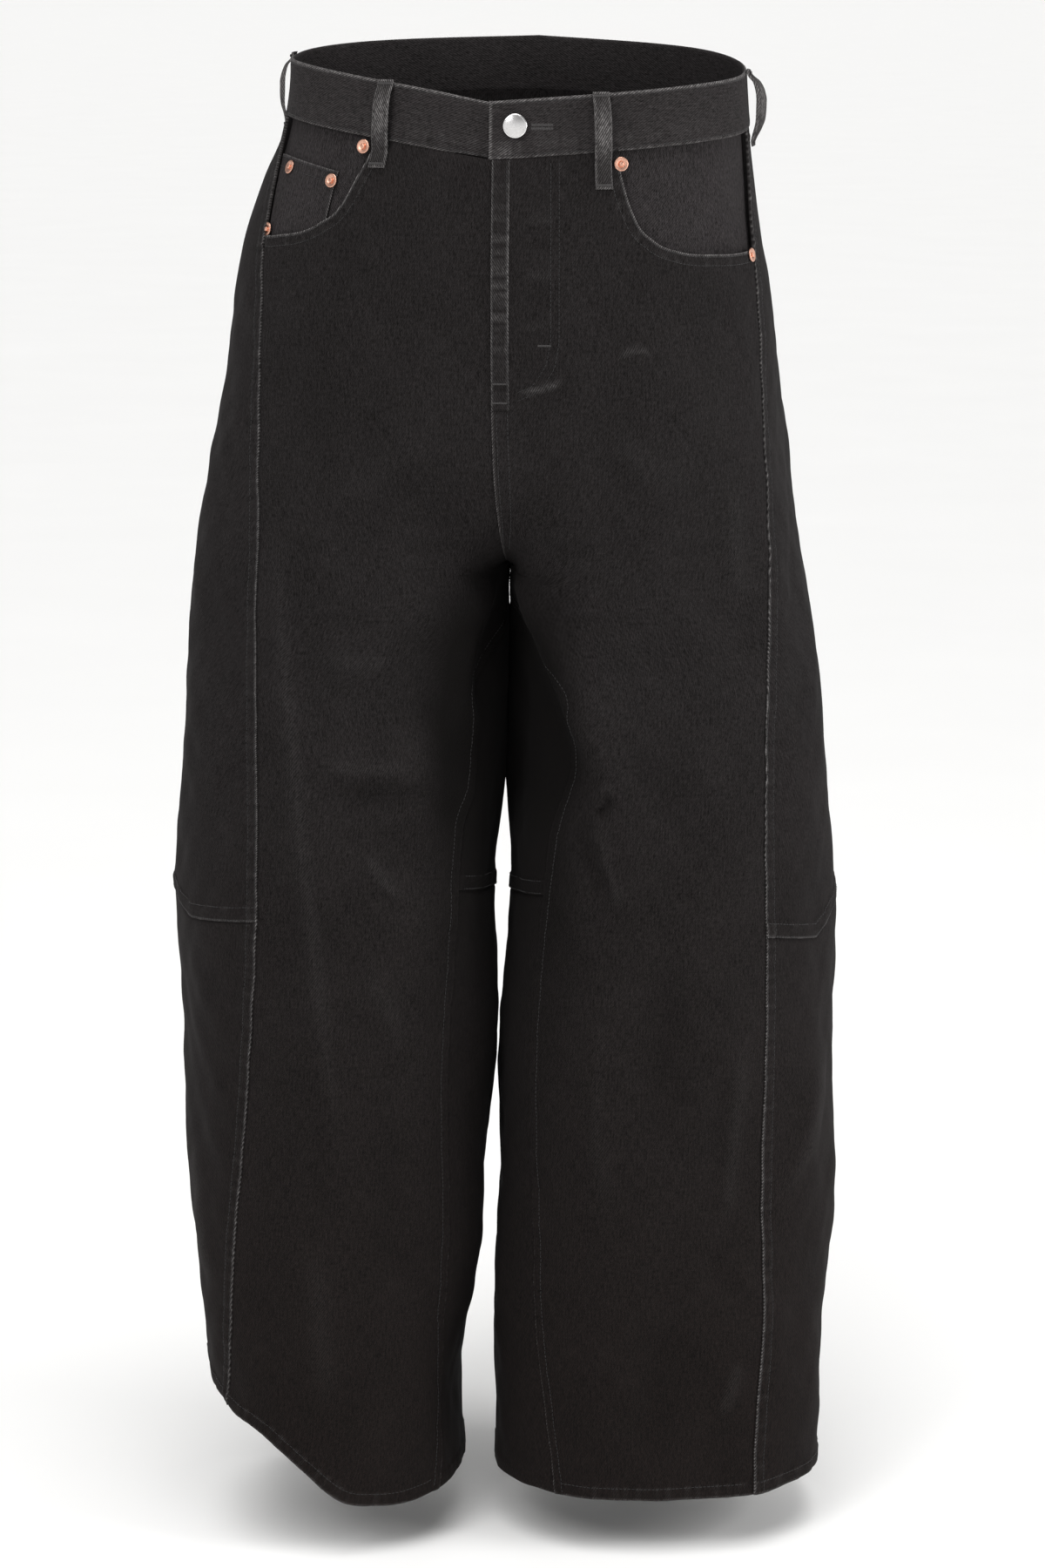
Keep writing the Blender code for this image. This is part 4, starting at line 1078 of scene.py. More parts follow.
def denim(name, charcoal=CHARCOAL, worn_all_over=0.0, painted_shade_below=False):
    """Washed black twill: fine ribs, streaks along the warp, speckles, and rubbed pale edges.

    Wear above 0 is rubbed pale, and wear below 0 is painted shade in hollows and between the legs;
    painted_shade_below also paints the legs darker and warmer towards the hems, as shade.
    """
    made, tree, shader = blank_material(name)
    cloth = node(tree, "ShaderNodeUVMap", uv_map="cloth")
    parts = node(tree, "ShaderNodeSeparateXYZ", {"Vector": cloth.outputs["UV"]})
    u, v = parts.outputs["X"], parts.outputs["Y"]

    def stretched(across, along):
        joined = node(tree, "ShaderNodeCombineXYZ",
                      {"X": maths(tree, "MULTIPLY", u, across), "Y": maths(tree, "MULTIPLY", v, along)})
        return joined.outputs["Vector"]

    def noise(across, along, detail=3.0, roughness=0.6):
        made_noise = node(tree, "ShaderNodeTexNoise",
                          {"Vector": stretched(across, along), "Scale": 1.0, "Detail": detail,
                           "Roughness": roughness})
        return made_noise.outputs["Fac"]

    def plus(a, b, clamp=False):
        return maths(tree, "ADD", a, b, clamp)

    def times(a, b, clamp=False):
        return maths(tree, "MULTIPLY", a, b, clamp)

    def scaled(value, factor, offset, clamp=False):
        return plus(times(value, factor), offset, clamp)

    climbed = maths(tree, "SUBTRACT", u, times(v, TWILL_SLOPE))
    diagonal = times(climbed, 2 * math.pi * ACROSS_RIBS / TWILL_PITCH)
    wobble = times(noise(420.0, 420.0, 1.0), 1.6)
    ribs = scaled(maths(tree, "SINE", plus(diagonal, wobble)), 0.5, 0.5)
    streaks = noise(1000.0, 95.0, 2.0, 0.50)
    speckle = noise(1500.0, 1100.0, 2.0, 0.7)
    mottle = noise(760.0, 380.0, 2.0, 0.60)
    clouds = noise(22.0, 13.0, 4.0, 0.60)
    # wear: rubbing above 0, painted shade below 0
    wear = node(tree, "ShaderNodeAttribute", attribute_name="wear").outputs["Fac"]

    tone = scaled(streaks, 1.10, -0.09, True)
    tone = times(tone, scaled(speckle, 0.9, 0.25), True)
    tone = times(tone, scaled(ribs, 0.40, 0.70), True)
    tone = plus(tone, scaled(mottle, 0.90, -0.45), True)
    tone = plus(tone, scaled(clouds, 0.28, -0.14), True)
    # wear below 0 makes the tone darker: painted shade
    tone = times(tone, plus(wear, 1.0, True))
    # painted shade: the legs are painted darker and warmer towards the hems, where less light reaches them
    if painted_shade_below:
        low = node(tree, "ShaderNodeMapRange", {"Value": v, "From Min": DARKER_FROM, "From Max": DARKER_TO})
        painted_shade_charcoal = (charcoal[0] * 0.64, charcoal[1] * 0.53, charcoal[2] * 0.48, 1.0)
        charcoal = mixed(tree, low.outputs["Result"], charcoal, painted_shade_charcoal)
    base = mixed(tree, tone, BLACK, charcoal)

    broken = times(maths(tree, "SUBTRACT", noise(520.0, 300.0, 3.0, 0.7), 0.28), 2.2, True)
    rib_top = maths(tree, "POWER", ribs, 1.7)
    rubbing = times(scaled(wear, 2.0, worn_all_over, True), broken)
    rubbing = times(rubbing, scaled(rib_top, 0.9, 0.18), True)
    tree.links.new(mixed(tree, rubbing, base, RUBBED), shader.inputs["Base Color"])
    shader.inputs["Roughness"].default_value = 0.92
    shader.inputs["Specular IOR Level"].default_value = 0.10
    shader.inputs["Sheen Weight"].default_value = 0.01
    shader.inputs["Sheen Roughness"].default_value = 0.45
    shader.inputs["Sheen Tint"].default_value = (0.80, 0.76, 0.78, 1.0)

    pucker = node(tree, "ShaderNodeAttribute", attribute_name="pucker").outputs["Fac"]
    crimps = times(maths(tree, "SINE", times(v, 2 * math.pi / CRIMP_PITCH)), pucker)
    height = plus(times(ribs, 0.55), times(speckle, 0.45))
    height = plus(height, times(streaks, 0.6))
    height = plus(height, times(crimps, 0.35))
    bump = node(tree, "ShaderNodeBump", {"Height": height, "Strength": 0.55, "Distance": 0.00028})
    tree.links.new(bump.outputs["Normal"], shader.inputs["Normal"])
    return made


def thread(name, colour):
    """Twisted cotton thread."""
    made, tree, shader = blank_material(name)
    place = node(tree, "ShaderNodeTexCoord").outputs["Object"]
    fuzz = node(tree, "ShaderNodeTexNoise", {"Vector": place, "Scale": 2600.0, "Detail": 2.0})
    dark = (*(c * 0.65 for c in colour), 1.0)
    light = (*(c * 1.35 for c in colour), 1.0)
    tree.links.new(mixed(tree, fuzz.outputs["Fac"], dark, light), shader.inputs["Base Color"])
    bump = node(tree, "ShaderNodeBump", {"Height": fuzz.outputs["Fac"], "Strength": 0.5, "Distance": 0.0001})
    tree.links.new(bump.outputs["Normal"], shader.inputs["Normal"])
    shader.inputs["Roughness"].default_value = 0.75
    shader.inputs["Sheen Weight"].default_value = 0.08
    return made


def metal(name, bright, dull, roughness, patina_scale):
    """Plated metal, a little uneven in colour and polish."""
    made, tree, shader = blank_material(name)
    place = node(tree, "ShaderNodeTexCoord").outputs["Object"]
    patches = node(tree, "ShaderNodeTexNoise", {"Vector": place, "Scale": patina_scale, "Detail": 4.0})
    tree.links.new(mixed(tree, patches.outputs["Fac"], bright, dull), shader.inputs["Base Color"])
    polish = maths(tree, "ADD", maths(tree, "MULTIPLY", patches.outputs["Fac"], 0.16), roughness - 0.08)
    tree.links.new(polish, shader.inputs["Roughness"])
    shader.inputs["Metallic"].default_value = 1.0
    scratches = node(tree, "ShaderNodeTexNoise", {"Vector": place, "Scale": 4200.0, "Detail": 2.0})
    bump = node(tree, "ShaderNodeBump", {"Height": scratches.outputs["Fac"], "Strength": 0.12,
                                         "Distance": 0.00005})
    tree.links.new(bump.outputs["Normal"], shader.inputs["Normal"])
    return made


DENIM = denim("black denim", painted_shade_below=True)
DENIM_BAND = denim("waistband denim", (0.050, 0.044, 0.045, 1.0), 0.075)
DENIM_LOOP = denim("rubbed black denim", CHARCOAL, 0.16)
DENIM_POCKET = denim("pocket denim", (0.058, 0.051, 0.053, 1.0), 0.05)
THREAD = thread("black thread", (0.0085, 0.0075, 0.0080))
THREAD_GREY = thread("faded thread", (0.034, 0.031, 0.031))
STEEL = metal("plain steel", (0.86, 0.85, 0.84, 1.0), (0.70, 0.69, 0.69, 1.0), 0.20, 160.0)
COPPER = metal("copper", (0.90, 0.56, 0.43, 1.0), (0.58, 0.27, 0.18, 1.0), 0.34, 700.0)


def keep(piece, slot, *nodes):
    """Let a piece ride on the garment and stand for those solids."""
    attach(piece, "root")
    if nodes:
        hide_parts(*nodes)
    return piece


# ---------------------------------------------------------------- panels

ROW = 0.0032                      # spacing of rows and columns on the open cloth
COLUMN = 0.0034
BACK_COLUMN = COLUMN * 1.1
MOUTH_COLUMN = 0.0017             # spacing along a pocket's mouth where it is steep
STEEP = 1.2                       # rise over run from which it counts as steep
FRONT_STRIP = {"left": 0.285, "right": 0.290}     # widths on which a panel's columns are laid out
BACK_STRIP = 0.440
KNEE_FRONT = -0.585               # about where the knee seam runs, to share out the rows
KNEE_BACK = -0.580


def front_ends(side):
    def ends(height):
        return inner_at(side, height), outer_at(side, height)
    return ends


def back_ends(side):
    def ends(height):
        return outer_at(side, height), 1 + inner_at(side, height)
    return ends


def front_columns(side, width):
    """Columns of the front panel, closer together where the pocket's mouth is steep."""
    plain = edge_steps(width, COLUMN)
    fine = np.linspace(0.0, width, 5000)
    height = np.full(fine.shape, -0.03)
    for _ in range(SETTLING):
        around = place_between(side, height, fine, front_ends(side), width, STEADY_ABOVE)
        height = pocket_edge(side, around)
    travelled = np.concatenate([[0.0], np.cumsum(np.hypot(np.diff(fine), np.diff(height)))])
    steep = travelled[np.abs(np.gradient(height, fine)) > STEEP]
    close = np.interp(np.arange(steep[0] - 0.001, steep[-1] + 0.001, MOUTH_COLUMN), travelled, fine)
    plain = plain[(plain < close[0] - 0.001) | (plain > close[-1] + 0.001)]
    return np.sort(np.concatenate([plain, close]))


def spaced(high, low):
    """Number of rows between two heights."""
    return max(int((high - low) / ROW), 2)


def front_panel(side):
    def levels(around):
        return (pocket_edge(side, around), np.full(around.shape, CROTCH_HEIGHT),
                knee_line(side, around), hem_line(side, around))

    marks = panel_rows(spaced(-0.030, CROTCH_HEIGHT), spaced(CROTCH_HEIGHT, KNEE_FRONT),
                       spaced(KNEE_FRONT, HEM_HEIGHT))
    width = FRONT_STRIP[side]
    piece = panel(side, "front", marks, front_columns(side, width), width, front_ends(side), levels,
                  STEADY_ABOVE)
    return keep(piece, "denim", f"front_panel_{side}")


def back_panel(part, side, marks, levels):
    columns = edge_steps(BACK_STRIP, BACK_COLUMN)
    piece = panel(side, part, marks, columns, BACK_STRIP, back_ends(side), levels)
    return keep(piece, "denim", f"{part}_{side}")


def back_upper(side):
    def levels(around):
        return (sewn_top(side, "back_upper", around), np.full(around.shape, CROTCH_HEIGHT),
                knee_line(side, around) + JOIN / 2)

    marks = panel_rows(spaced(0.0, CROTCH_HEIGHT), spaced(CROTCH_HEIGHT, KNEE_BACK))
    return back_panel("back_upper", side, marks, levels)


def back_lower(side):
    def levels(around):
        return knee_line(side, around) - JOIN / 2, hem_line(side, around)

    return back_panel("back_lower", side, panel_rows(spaced(KNEE_BACK, HEM_HEIGHT)), levels)


# ---------------------------------------------------------------- pockets

COIN_LIFT = -(CLOTH + LAYER_GAP)
FACING_LIFT = COIN_LIFT - POCKET_CLOTH - LAYER_GAP
FACING_UNDER_FRONT = 0.016        # around by which a facing runs on behind the front panel
FACING_UNDER_BACK = 0.014         # and behind the back one
COIN_COLUMN = 2                   # the column and the row of a facing's grid where the coin pocket starts
COIN_ROW = 2
COIN_LEVEL = -0.03                # height at which x tells the place around of the coin pocket's side


def facing_grid(side, rows, columns):
    """Around and height of the facing's points. A row and a column of them follow the coin pocket."""
    corner = float(around_at_x(side, np.array(COIN_LEVEL), POCKET_CORNER[side], 0.0, 0.5))
    coin_edge = float(around_at_x(side, np.array(COIN_LEVEL), COIN_INNER_X * -SIGN[side], 0.0, 0.5))

    def place(height, across):
        last = outer_at(side, height)
        last = last - SEAM_GAP * per_metre(side, last, height)
        start = np.where(across < COIN_COLUMN, corner - FACING_UNDER_FRONT, coin_edge)
        end = np.where(across < COIN_COLUMN, coin_edge, last)
        share = np.where(across < COIN_COLUMN, across / COIN_COLUMN, (across - COIN_COLUMN) / 6)
        inside = start + (end - start) * np.minimum(share, 1.0)
        return inside + FACING_UNDER_BACK * np.clip(across - 8, 0.0, 1.0)

    def level(around, down):
        x = form(side, around, np.full(around.shape, MOUTH_LEVEL))[..., 0]
        outward_share = np.clip((x * SIGN[side] + COIN_INNER_X) / 0.045, -0.2, 1.2)
        coin_line = COIN_TOP["inner"] + (COIN_TOP["outer"] - COIN_TOP["inner"]) * outward_share
        bottom = np.minimum(POCKET_MOUTH[side].at(x)["height"], -0.050) - FACING_MARGIN
        top = top_edge(side, around)
        upper = top + (coin_line - top) * down / COIN_ROW
        return np.where(down < COIN_ROW, upper, coin_line + (bottom - coin_line) * (down - COIN_ROW) / 4)

    return solve(place, level, rows, columns)


def patch(name, side, around, height, lift, thickness, edge_wear, node_name, seed):
    """A layer behind the front panel: its face, with rubbed edges and soft unevenness."""
    base = form(side, around, height)
    normal = outward(side, around, height)
    top = base[0]
    inner_edge = base[:, 0]
    wear = np.zeros(around.shape)
    raised = unevenness(base)
    for line, share in ((top, edge_wear), (inner_edge, edge_wear)):
        away, along = distance_to(base, thinned(line, 0.004))
        waves = ripple(along, seed)
        wear = wear + share * bell(away, 0.0010) * (0.7 + 0.4 * waves)
        raised = raised + 0.00022 * waves * bell(away - 0.006, 0.004) * (share > 0)
    moved = fold_depth(side, base) + raised + lift
    outer = base + normal * moved[..., None]
    inner = outer - normal * thickness
    piece = shell(name, outer, inner, DENIM_POCKET, wear, np.zeros(around.shape), flip=side == "left")
    return keep(piece, "denim", node_name)


def pocket_facing(side):
    """The cloth seen in a front pocket's mouth."""
    around, height = facing_grid(side, np.linspace(0, 6, 40), np.linspace(0, 9, 46))
    return patch(f"denim_facing_{side}", side, around, height, FACING_LIFT, POCKET_CLOTH - 0.0002, 0.0,
                 f"pocket_facing_{side}", 31)


def coin_pocket():
    """A small patch on the wearer's right facing, its rows and columns closer by its sewn edges."""
    across = np.concatenate([COIN_COLUMN + np.array([0.0, 0.04, 0.09, 0.16, 0.28]),
                             np.linspace(2.45, 8.0, 26)])
    down = np.concatenate([COIN_ROW + np.array([0.0, 0.04, 0.09, 0.16, 0.26]), np.linspace(2.40, 6.0, 22)])
    around, height = facing_grid("right", down, across)
    return patch("denim_coin_pocket", "right", around, height, COIN_LIFT, POCKET_CLOTH - 0.0001, 0.55,
                 "coin_pocket", 33)


# ---------------------------------------------------------------- waistband and fly

# Shares of the band's height at which its points lie.
BAND_SHARES = (0.0, 0.008, 0.022, 0.045, 0.075, 0.11, 0.16, 0.24, 0.34, 0.44, 0.54, 0.64, 0.74, 0.82,
               0.88, 0.92, 0.950, 0.972, 0.988, 1.0)
BAND_STATIONS = 300
SINK_FROM = 0.075                 # around at which the under end begins to go behind
SINK_OVER = 0.060
TAB = TAB_PAST_CENTRE / HALF_WAIST


def band_face(around, shares, owner):
    """Column of band points, their normals and their side. Negative around is past the centre front."""
    side = owner if around >= 0 else ("left" if owner == "right" else "right")
    place = abs(around)
    heights = float(waist_line(side, np.array(place))) + BAND_HEIGHT * np.asarray(shares)
    places = np.full(heights.shape, place)
    return form(side, places, heights), outward(side, places, heights), side


def band_sunk(around, owner):
    """0 where the band is in front, up to 1 where its under end lies behind the buttoned end."""
    return 0.0 if owner == "left" else float(ease((SINK_FROM - around) / SINK_OVER))


def band_wear(owner, around, from_end, up, waves):
    """Rubbing of the band at one place: its long edges, its buttoned end and a soft line over the sewing."""
    wear = 1.10 * bell(BAND_HEIGHT - up, 0.0014) + 0.50 * bell(up, 0.0014) * (0.6 + 0.5 * waves)
    if owner == "left":
        wear = wear + 1.20 * bell(from_end, 0.0013)
        wear = wear + 0.25 * bell(from_end - 0.010, 0.006) * bell(up - 0.004, 0.006)
    return wear + 0.10 * bell(around, 0.30) * bell(up - 0.0095, 0.0045) * np.clip(waves + 0.35, 0, 1)


def waistband():
    """One strip from the buttoned end round the back and in behind that end, with folded edges."""
    under = TAB_OVERLAP / HALF_WAIST
    ends = np.array([0.0, 0.0006, 0.0014, 0.0026, 0.0045]) / HALF_WAIST
    left = np.concatenate([-TAB + ends, np.linspace(-TAB + 0.014, 1.0, BAND_STATIONS // 2)])
    right = np.linspace(1.0, -under, BAND_STATIONS // 2)[1:]
    shares = np.array(BAND_SHARES)
    middle = 2 * shares - 1
    half = BAND_THICKNESS / 2
    round_edge = np.maximum((1 - np.abs(middle) ** 16) ** (1 / 3.0), 0.12)
    outer, inner, wear, pucker = [], [], [], []
    travelled = 0.0
    last_point = None
    for owner, stations in (("left", left), ("right", right)):
        for around in stations:
            sunk = band_sunk(around, owner)
            centre = BAND_PROUD - half - sunk * (BAND_THICKNESS + SEAM_GAP)
            inset = 0.02 * sunk
            points, normal, side = band_face(around, inset + (1 - 2 * inset) * shares, owner)
            if last_point is not None:
                travelled += float(np.linalg.norm(points[9] - last_point))
            last_point = points[9]
            from_end = (around + TAB) * HALF_WAIST if owner == "left" else 1.0
            end_round = min(1.0, max(0.15, (max(from_end, 0.0) / 0.0016) ** 0.45))
            thick = half * round_edge * end_round
            along = np.full(shares.shape, travelled)
            low_waves = ripple(along, 41)
            high_waves = ripple(along + 0.5, 43)
            height_in = shares * BAND_HEIGHT
            from_top = BAND_HEIGHT - height_in
            relief_here = 0.00028 * low_waves * bell(height_in - 0.003, 0.004)
            relief_here = relief_here + 0.00022 * high_waves * bell(from_top - 0.003, 0.004)
            sewn_in = bell(height_in - 0.0024, 0.0008) + bell(from_top - 0.0024, 0.0008)
            relief_here = relief_here - 0.00022 * sewn_in
            relief_here = relief_here + fold_depth(side, points)
            outer.append(points + normal * (centre + thick + relief_here)[:, None])
            inner.append(points + normal * (centre - thick + relief_here * 0.6)[:, None])
            wear.append(band_wear(owner, around, from_end, height_in, low_waves))
            pucker.append(band(height_in, 0.0050) + band(from_top, 0.0045))
    outer, inner = np.array(outer), np.array(inner)
    pucker = np.clip(np.array(pucker), 0, 1)
    piece = shell("denim_waistband", outer, inner, DENIM_BAND, np.array(wear), pucker, flip=True,
                  turned_weave=True)
    return keep(piece, "denim", "waistband")


FLY_LOW = 0.585                   # share of the way down to the crotch at which the fly's strip ends
FLY_RUBBED = -0.110               # height at which it is rubbed the most
FLY_COLUMNS = np.array([0.0, 0.4, 1.0, 2.0, 3.8, 6.0, 8.2, 10.2, 11.8, 12.5, 13.0]) * FLY_WIDTH / 13.0


def fly():
    """The doubled edge strip down the wearer's left front, rubbed along both of its sides."""
    side = "left"
    top = float(top_edge(side, np.array(0.0)))
    bottom = top + (CROTCH_HEIGHT - top) * FLY_LOW
    heights = np.concatenate([top - np.array([0.0, 0.0005, 0.0014, 0.003]),
                              np.linspace(top - 0.006, bottom + 0.003, 58),
                              bottom + np.array([0.0014, 0.0005, 0.0])])
    height, distance = np.meshgrid(heights, FLY_COLUMNS, indexing="ij")
    around = distance * per_metre(side, np.full(height.shape, 0.01), height)
    points, normal = cloth_face(side, "front", around, height)[:2]
    waves = ripple(-height, 51)
    from_edges = np.minimum(distance, FLY_WIDTH - distance)
    round_edge = np.clip((from_edges / 0.0008) ** 0.5, 0.12, 1.0)
    round_edge = round_edge * np.clip(((height - bottom) / 0.0008).clip(0) ** 0.5, 0.12, 1.0)
    raised = FLY_THICKNESS * round_edge + 0.00018 * waves * bell(from_edges - 0.0015, 0.0015)
    outer = points + normal * (SEAM_GAP + raised)[..., None]
    inner = points + normal * SEAM_GAP
    span = bell(height - FLY_RUBBED, 0.055)
    wear = 0.50 * bell(distance, 0.0010) + 0.50 * bell(FLY_WIDTH - distance, 0.0011) * (0.3 + span)
    wear = wear + 0.20 * span * np.clip(waves + 0.4, 0, 1)
    piece = shell("denim_fly", outer, inner, DENIM, wear, np.full(wear.shape, 0.4), flip=True,
                  turned_weave=True)
    return keep(piece, "denim", "fly")


# ---------------------------------------------------------------- belt loops

# Where each loop is, its side, its x on the front, and how far it hangs below the waistband.
LOOPS = (("front", "left", 0.0600, 0.026), ("front", "right", -0.0945, 0.020),
         ("side", "left", None, 0.014), ("side", "right", None, 0.014))
SIDE_LOOP_AROUND = 0.515
SIDE_LOOP_TURN = 0.45             # slope by which a side loop's face turns to the front at its middle


def loop_profile(side, around, drop, stand, foot):
    """Height and lift along a loop, from its upper end to its foot."""
    band_low = float(waist_line(side, np.array(around)))
    band_top = band_low + BAND_HEIGHT
    on_band = BAND_PROUD + SEAM_GAP
    return np.array((
        (band_top + 0.0012, on_band + 0.0002),
        (band_top - 0.0030, on_band + 0.0012),
        (band_top - 0.0085, on_band + stand * 0.72),
        (band_top - 0.0150, on_band + stand),
        (band_low + 0.0120, on_band + stand),
        (band_low + 0.0030, on_band + stand * 0.80),
        (band_low - 0.0060, foot + stand * 0.25),
        (band_low - 0.0100, foot + 0.0002),
        (band_low - drop, foot),
    ))


def loop_place(where, side, x):
    """Around of a loop, how far it stands off the band, and how far its foot stands off the panel."""
    if where == "front":
        return float(around_at_x(side, np.array(0.0), x, 0.02, 0.5)), LOOP_STAND, 0.0008
    return SIDE_LOOP_AROUND, LOOP_STAND + 0.002, 0.0016


def belt_loop(where, side, x, drop):
    """A strip over the waistband: folded edges, two lines of sewing, and a rubbed middle."""
    around, stand, foot = loop_place(where, side, x)
    profile = loop_profile(side, around, drop, stand, foot)
    lengths = lengths_along(profile)
    curve = Table("length height lift", [(s, *row) for s, row in zip(lengths, profile)])
    steps = np.concatenate([[0.0, 0.0004, 0.0012], np.linspace(0.0025, lengths[-1] - 0.0025, 44),
                            [lengths[-1] - 0.0012, lengths[-1] - 0.0004, lengths[-1]]])
    at = curve.at(steps)
    across = np.array([-0.5, -0.47, -0.42, -0.34, -0.24, -0.12, 0.0, 0.12, 0.24, 0.34, 0.42, 0.47, 0.5])
    width = LOOP_WIDTH * float(per_metre(side, np.array(around), at["height"][10]))
    height, share = np.meshgrid(at["height"], across, indexing="ij")
    lift = np.broadcast_to(at["lift"][:, None], height.shape)
    travelled = np.broadcast_to(steps[:, None], height.shape)
    places = around + width * share
    points = form(side, places, height)
    normal = outward(side, places, height)
    from_edge = (0.5 - np.abs(share)) * LOOP_WIDTH
    from_end = np.minimum(travelled, lengths[-1] - travelled)
    round_edge = np.clip((from_edge / 0.0007) ** 0.5, 0.15, 1.0)
    round_edge = round_edge * np.clip((from_end / 0.0007) ** 0.5, 0.15, 1.0)
    waves = ripple(travelled + share * 0.01, 61)
    if where == "side":
        lift = lift + SIDE_LOOP_TURN * share * LOOP_WIDTH * np.sin(math.pi * travelled / lengths[-1])
    swell = 0.00030 * bell(share, 0.30) - 0.00022 * bell(np.abs(share) - 0.34, 0.05)
    bars = -0.0004 * (bell(travelled - 0.0028, 0.0012) + bell(lengths[-1] - travelled - 0.0028, 0.0012))
    face = lift + LOOP_SHOWN * round_edge + swell + bars + 0.00012 * waves + fold_depth(side, points)
    back = lift + fold_depth(side, points)
    outer = points + normal * face[..., None]
    inner = points + normal * back[..., None]
    wear = 0.55 * bell(from_edge, 0.0010) + 0.75 * bell(from_end, 0.0012)
    wear = wear + 0.55 * bell(travelled - lengths[-1] * 0.42, 0.016) * bell(share, 0.40)
    piece = shell(f"denim_loop_{where}_{side}", outer, inner, DENIM_LOOP, wear, np.full(wear.shape, 0.3),
                  flip=side == "left")
    return keep(piece, "worn_denim", f"belt_loop_{where}_{side}")


# ---------------------------------------------------------------- sewing

STITCH = 0.0031                   # from one stitch to the next
STITCH_LENGTH = 0.0024
THREAD_RADIUS = 0.00027
THREAD_SIDES = 5


def stitch_mesh(centres, directions, normals, length, radius):
    """Vertices and faces of many short plump threads."""
    count = len(centres)
    directions = directions / np.linalg.norm(directions, axis=1, keepdims=True)
    side_way = np.cross(normals, directions)
    side_way = side_way / np.linalg.norm(side_way, axis=1, keepdims=True)
    up = np.cross(directions, side_way)
    rings = ((-0.50, 0.30, -0.9), (-0.34, 1.0, 0.0), (0.34, 1.0, 0.0), (0.50, 0.30, -0.9))
    turn = 2 * math.pi * np.arange(THREAD_SIDES) / THREAD_SIDES
    length = np.broadcast_to(length, (count,))
    vertices = []
    for along, thick, sink in rings:
        centre = centres + directions * (along * length)[:, None] + up * (sink * radius)
        ring = side_way[:, None] * np.cos(turn)[None, :, None] + up[:, None] * np.sin(turn)[None, :, None]
        vertices.append(centre[:, None] + ring * radius * thick)
    vertices = np.stack(vertices, axis=1)
    cell = np.arange(4 * THREAD_SIDES).reshape(4, THREAD_SIDES)
    one = []
    for ring in range(3):
        for k in range(THREAD_SIDES):
            after = (k + 1) % THREAD_SIDES
            one.append((cell[ring, k], cell[ring, after], cell[ring + 1, after], cell[ring + 1, k]))
    caps = [tuple(cell[0, ::-1]), tuple(cell[3])]
    faces = []
    for k in range(count):
        base = k * 4 * THREAD_SIDES
        faces += [tuple(base + i for i in face) for face in one]
        faces += [tuple(base + i for i in face) for face in caps]
    return vertices.reshape(-1, 3), faces


def along_line(points, normals):
    """Places, directions and normals of stitches along a line of points."""
    lengths = lengths_along(points)
    starts = np.arange(0.0, lengths[-1] - STITCH_LENGTH, STITCH)

    def at(s, values):
        return np.stack([np.interp(s, lengths, values[:, k]) for k in range(3)], axis=-1)

    head, tail = at(starts, points), at(starts + STITCH_LENGTH, points)
    return (head + tail) / 2, tail - head, at(starts + STITCH_LENGTH / 2, normals)


class Sewing:
    """Gathers stitches for one joined piece."""

    def __init__(self, name, finish, slot, radius=THREAD_RADIUS):
        self.name, self.finish, self.slot, self.radius = name, finish, slot, radius
        self.vertices, self.faces = [], []
        self.count = 0

    def add(self, centres, directions, normals, length):
        """Stitches at given places."""
        vertices, faces = stitch_mesh(centres, directions, normals, length, self.radius)
        self.vertices.append(vertices)
        self.faces += [tuple(self.count + i for i in face) for face in faces]
        self.count += len(vertices)

    def run(self, points, normals):
        """Stitches along a line of points."""
        self.add(*along_line(points, normals), STITCH_LENGTH)

    def sew(self, side, part, line, away=0.0, lift=0.0):
        """A line of stitches on a panel, beside one of its lines."""
        around, height = shifted(side, line, away) if away else line
        points, normals = cloth_face(side, part, around, height, lift + self.radius * 0.45)[:2]
        if away:
            clear = distance_to(form(side, around, height), form(side, *line))[0] > abs(away) * 0.93
            points, normals = points[clear], normals[clear]
        self.run(points, normals)

    def bar(self, side, part, around, height, width, length, lift=0.0):
        """A bar tack: upright threads side by side, width over all of them, length of each."""
        count = int(width / (self.radius * 1.7))
        metres = float(per_metre(side, np.array(around), height))
        places = around + np.linspace(-0.5, 0.5, count) * width * metres
        points, normals = cloth_face(side, part, places, np.full(count, height), lift)[:2]
        above = cloth_face(side, part, places, np.full(count, height + 0.001), lift)[0]
        self.add(points + normals * self.radius * 0.6, above - points, normals, length)

    def finish_piece(self):
        """The joined piece of everything gathered."""
        vertices = np.concatenate(self.vertices)
        piece = new_object(self.name, vertices.tolist(), self.faces, self.finish)
        return keep(piece, self.slot)


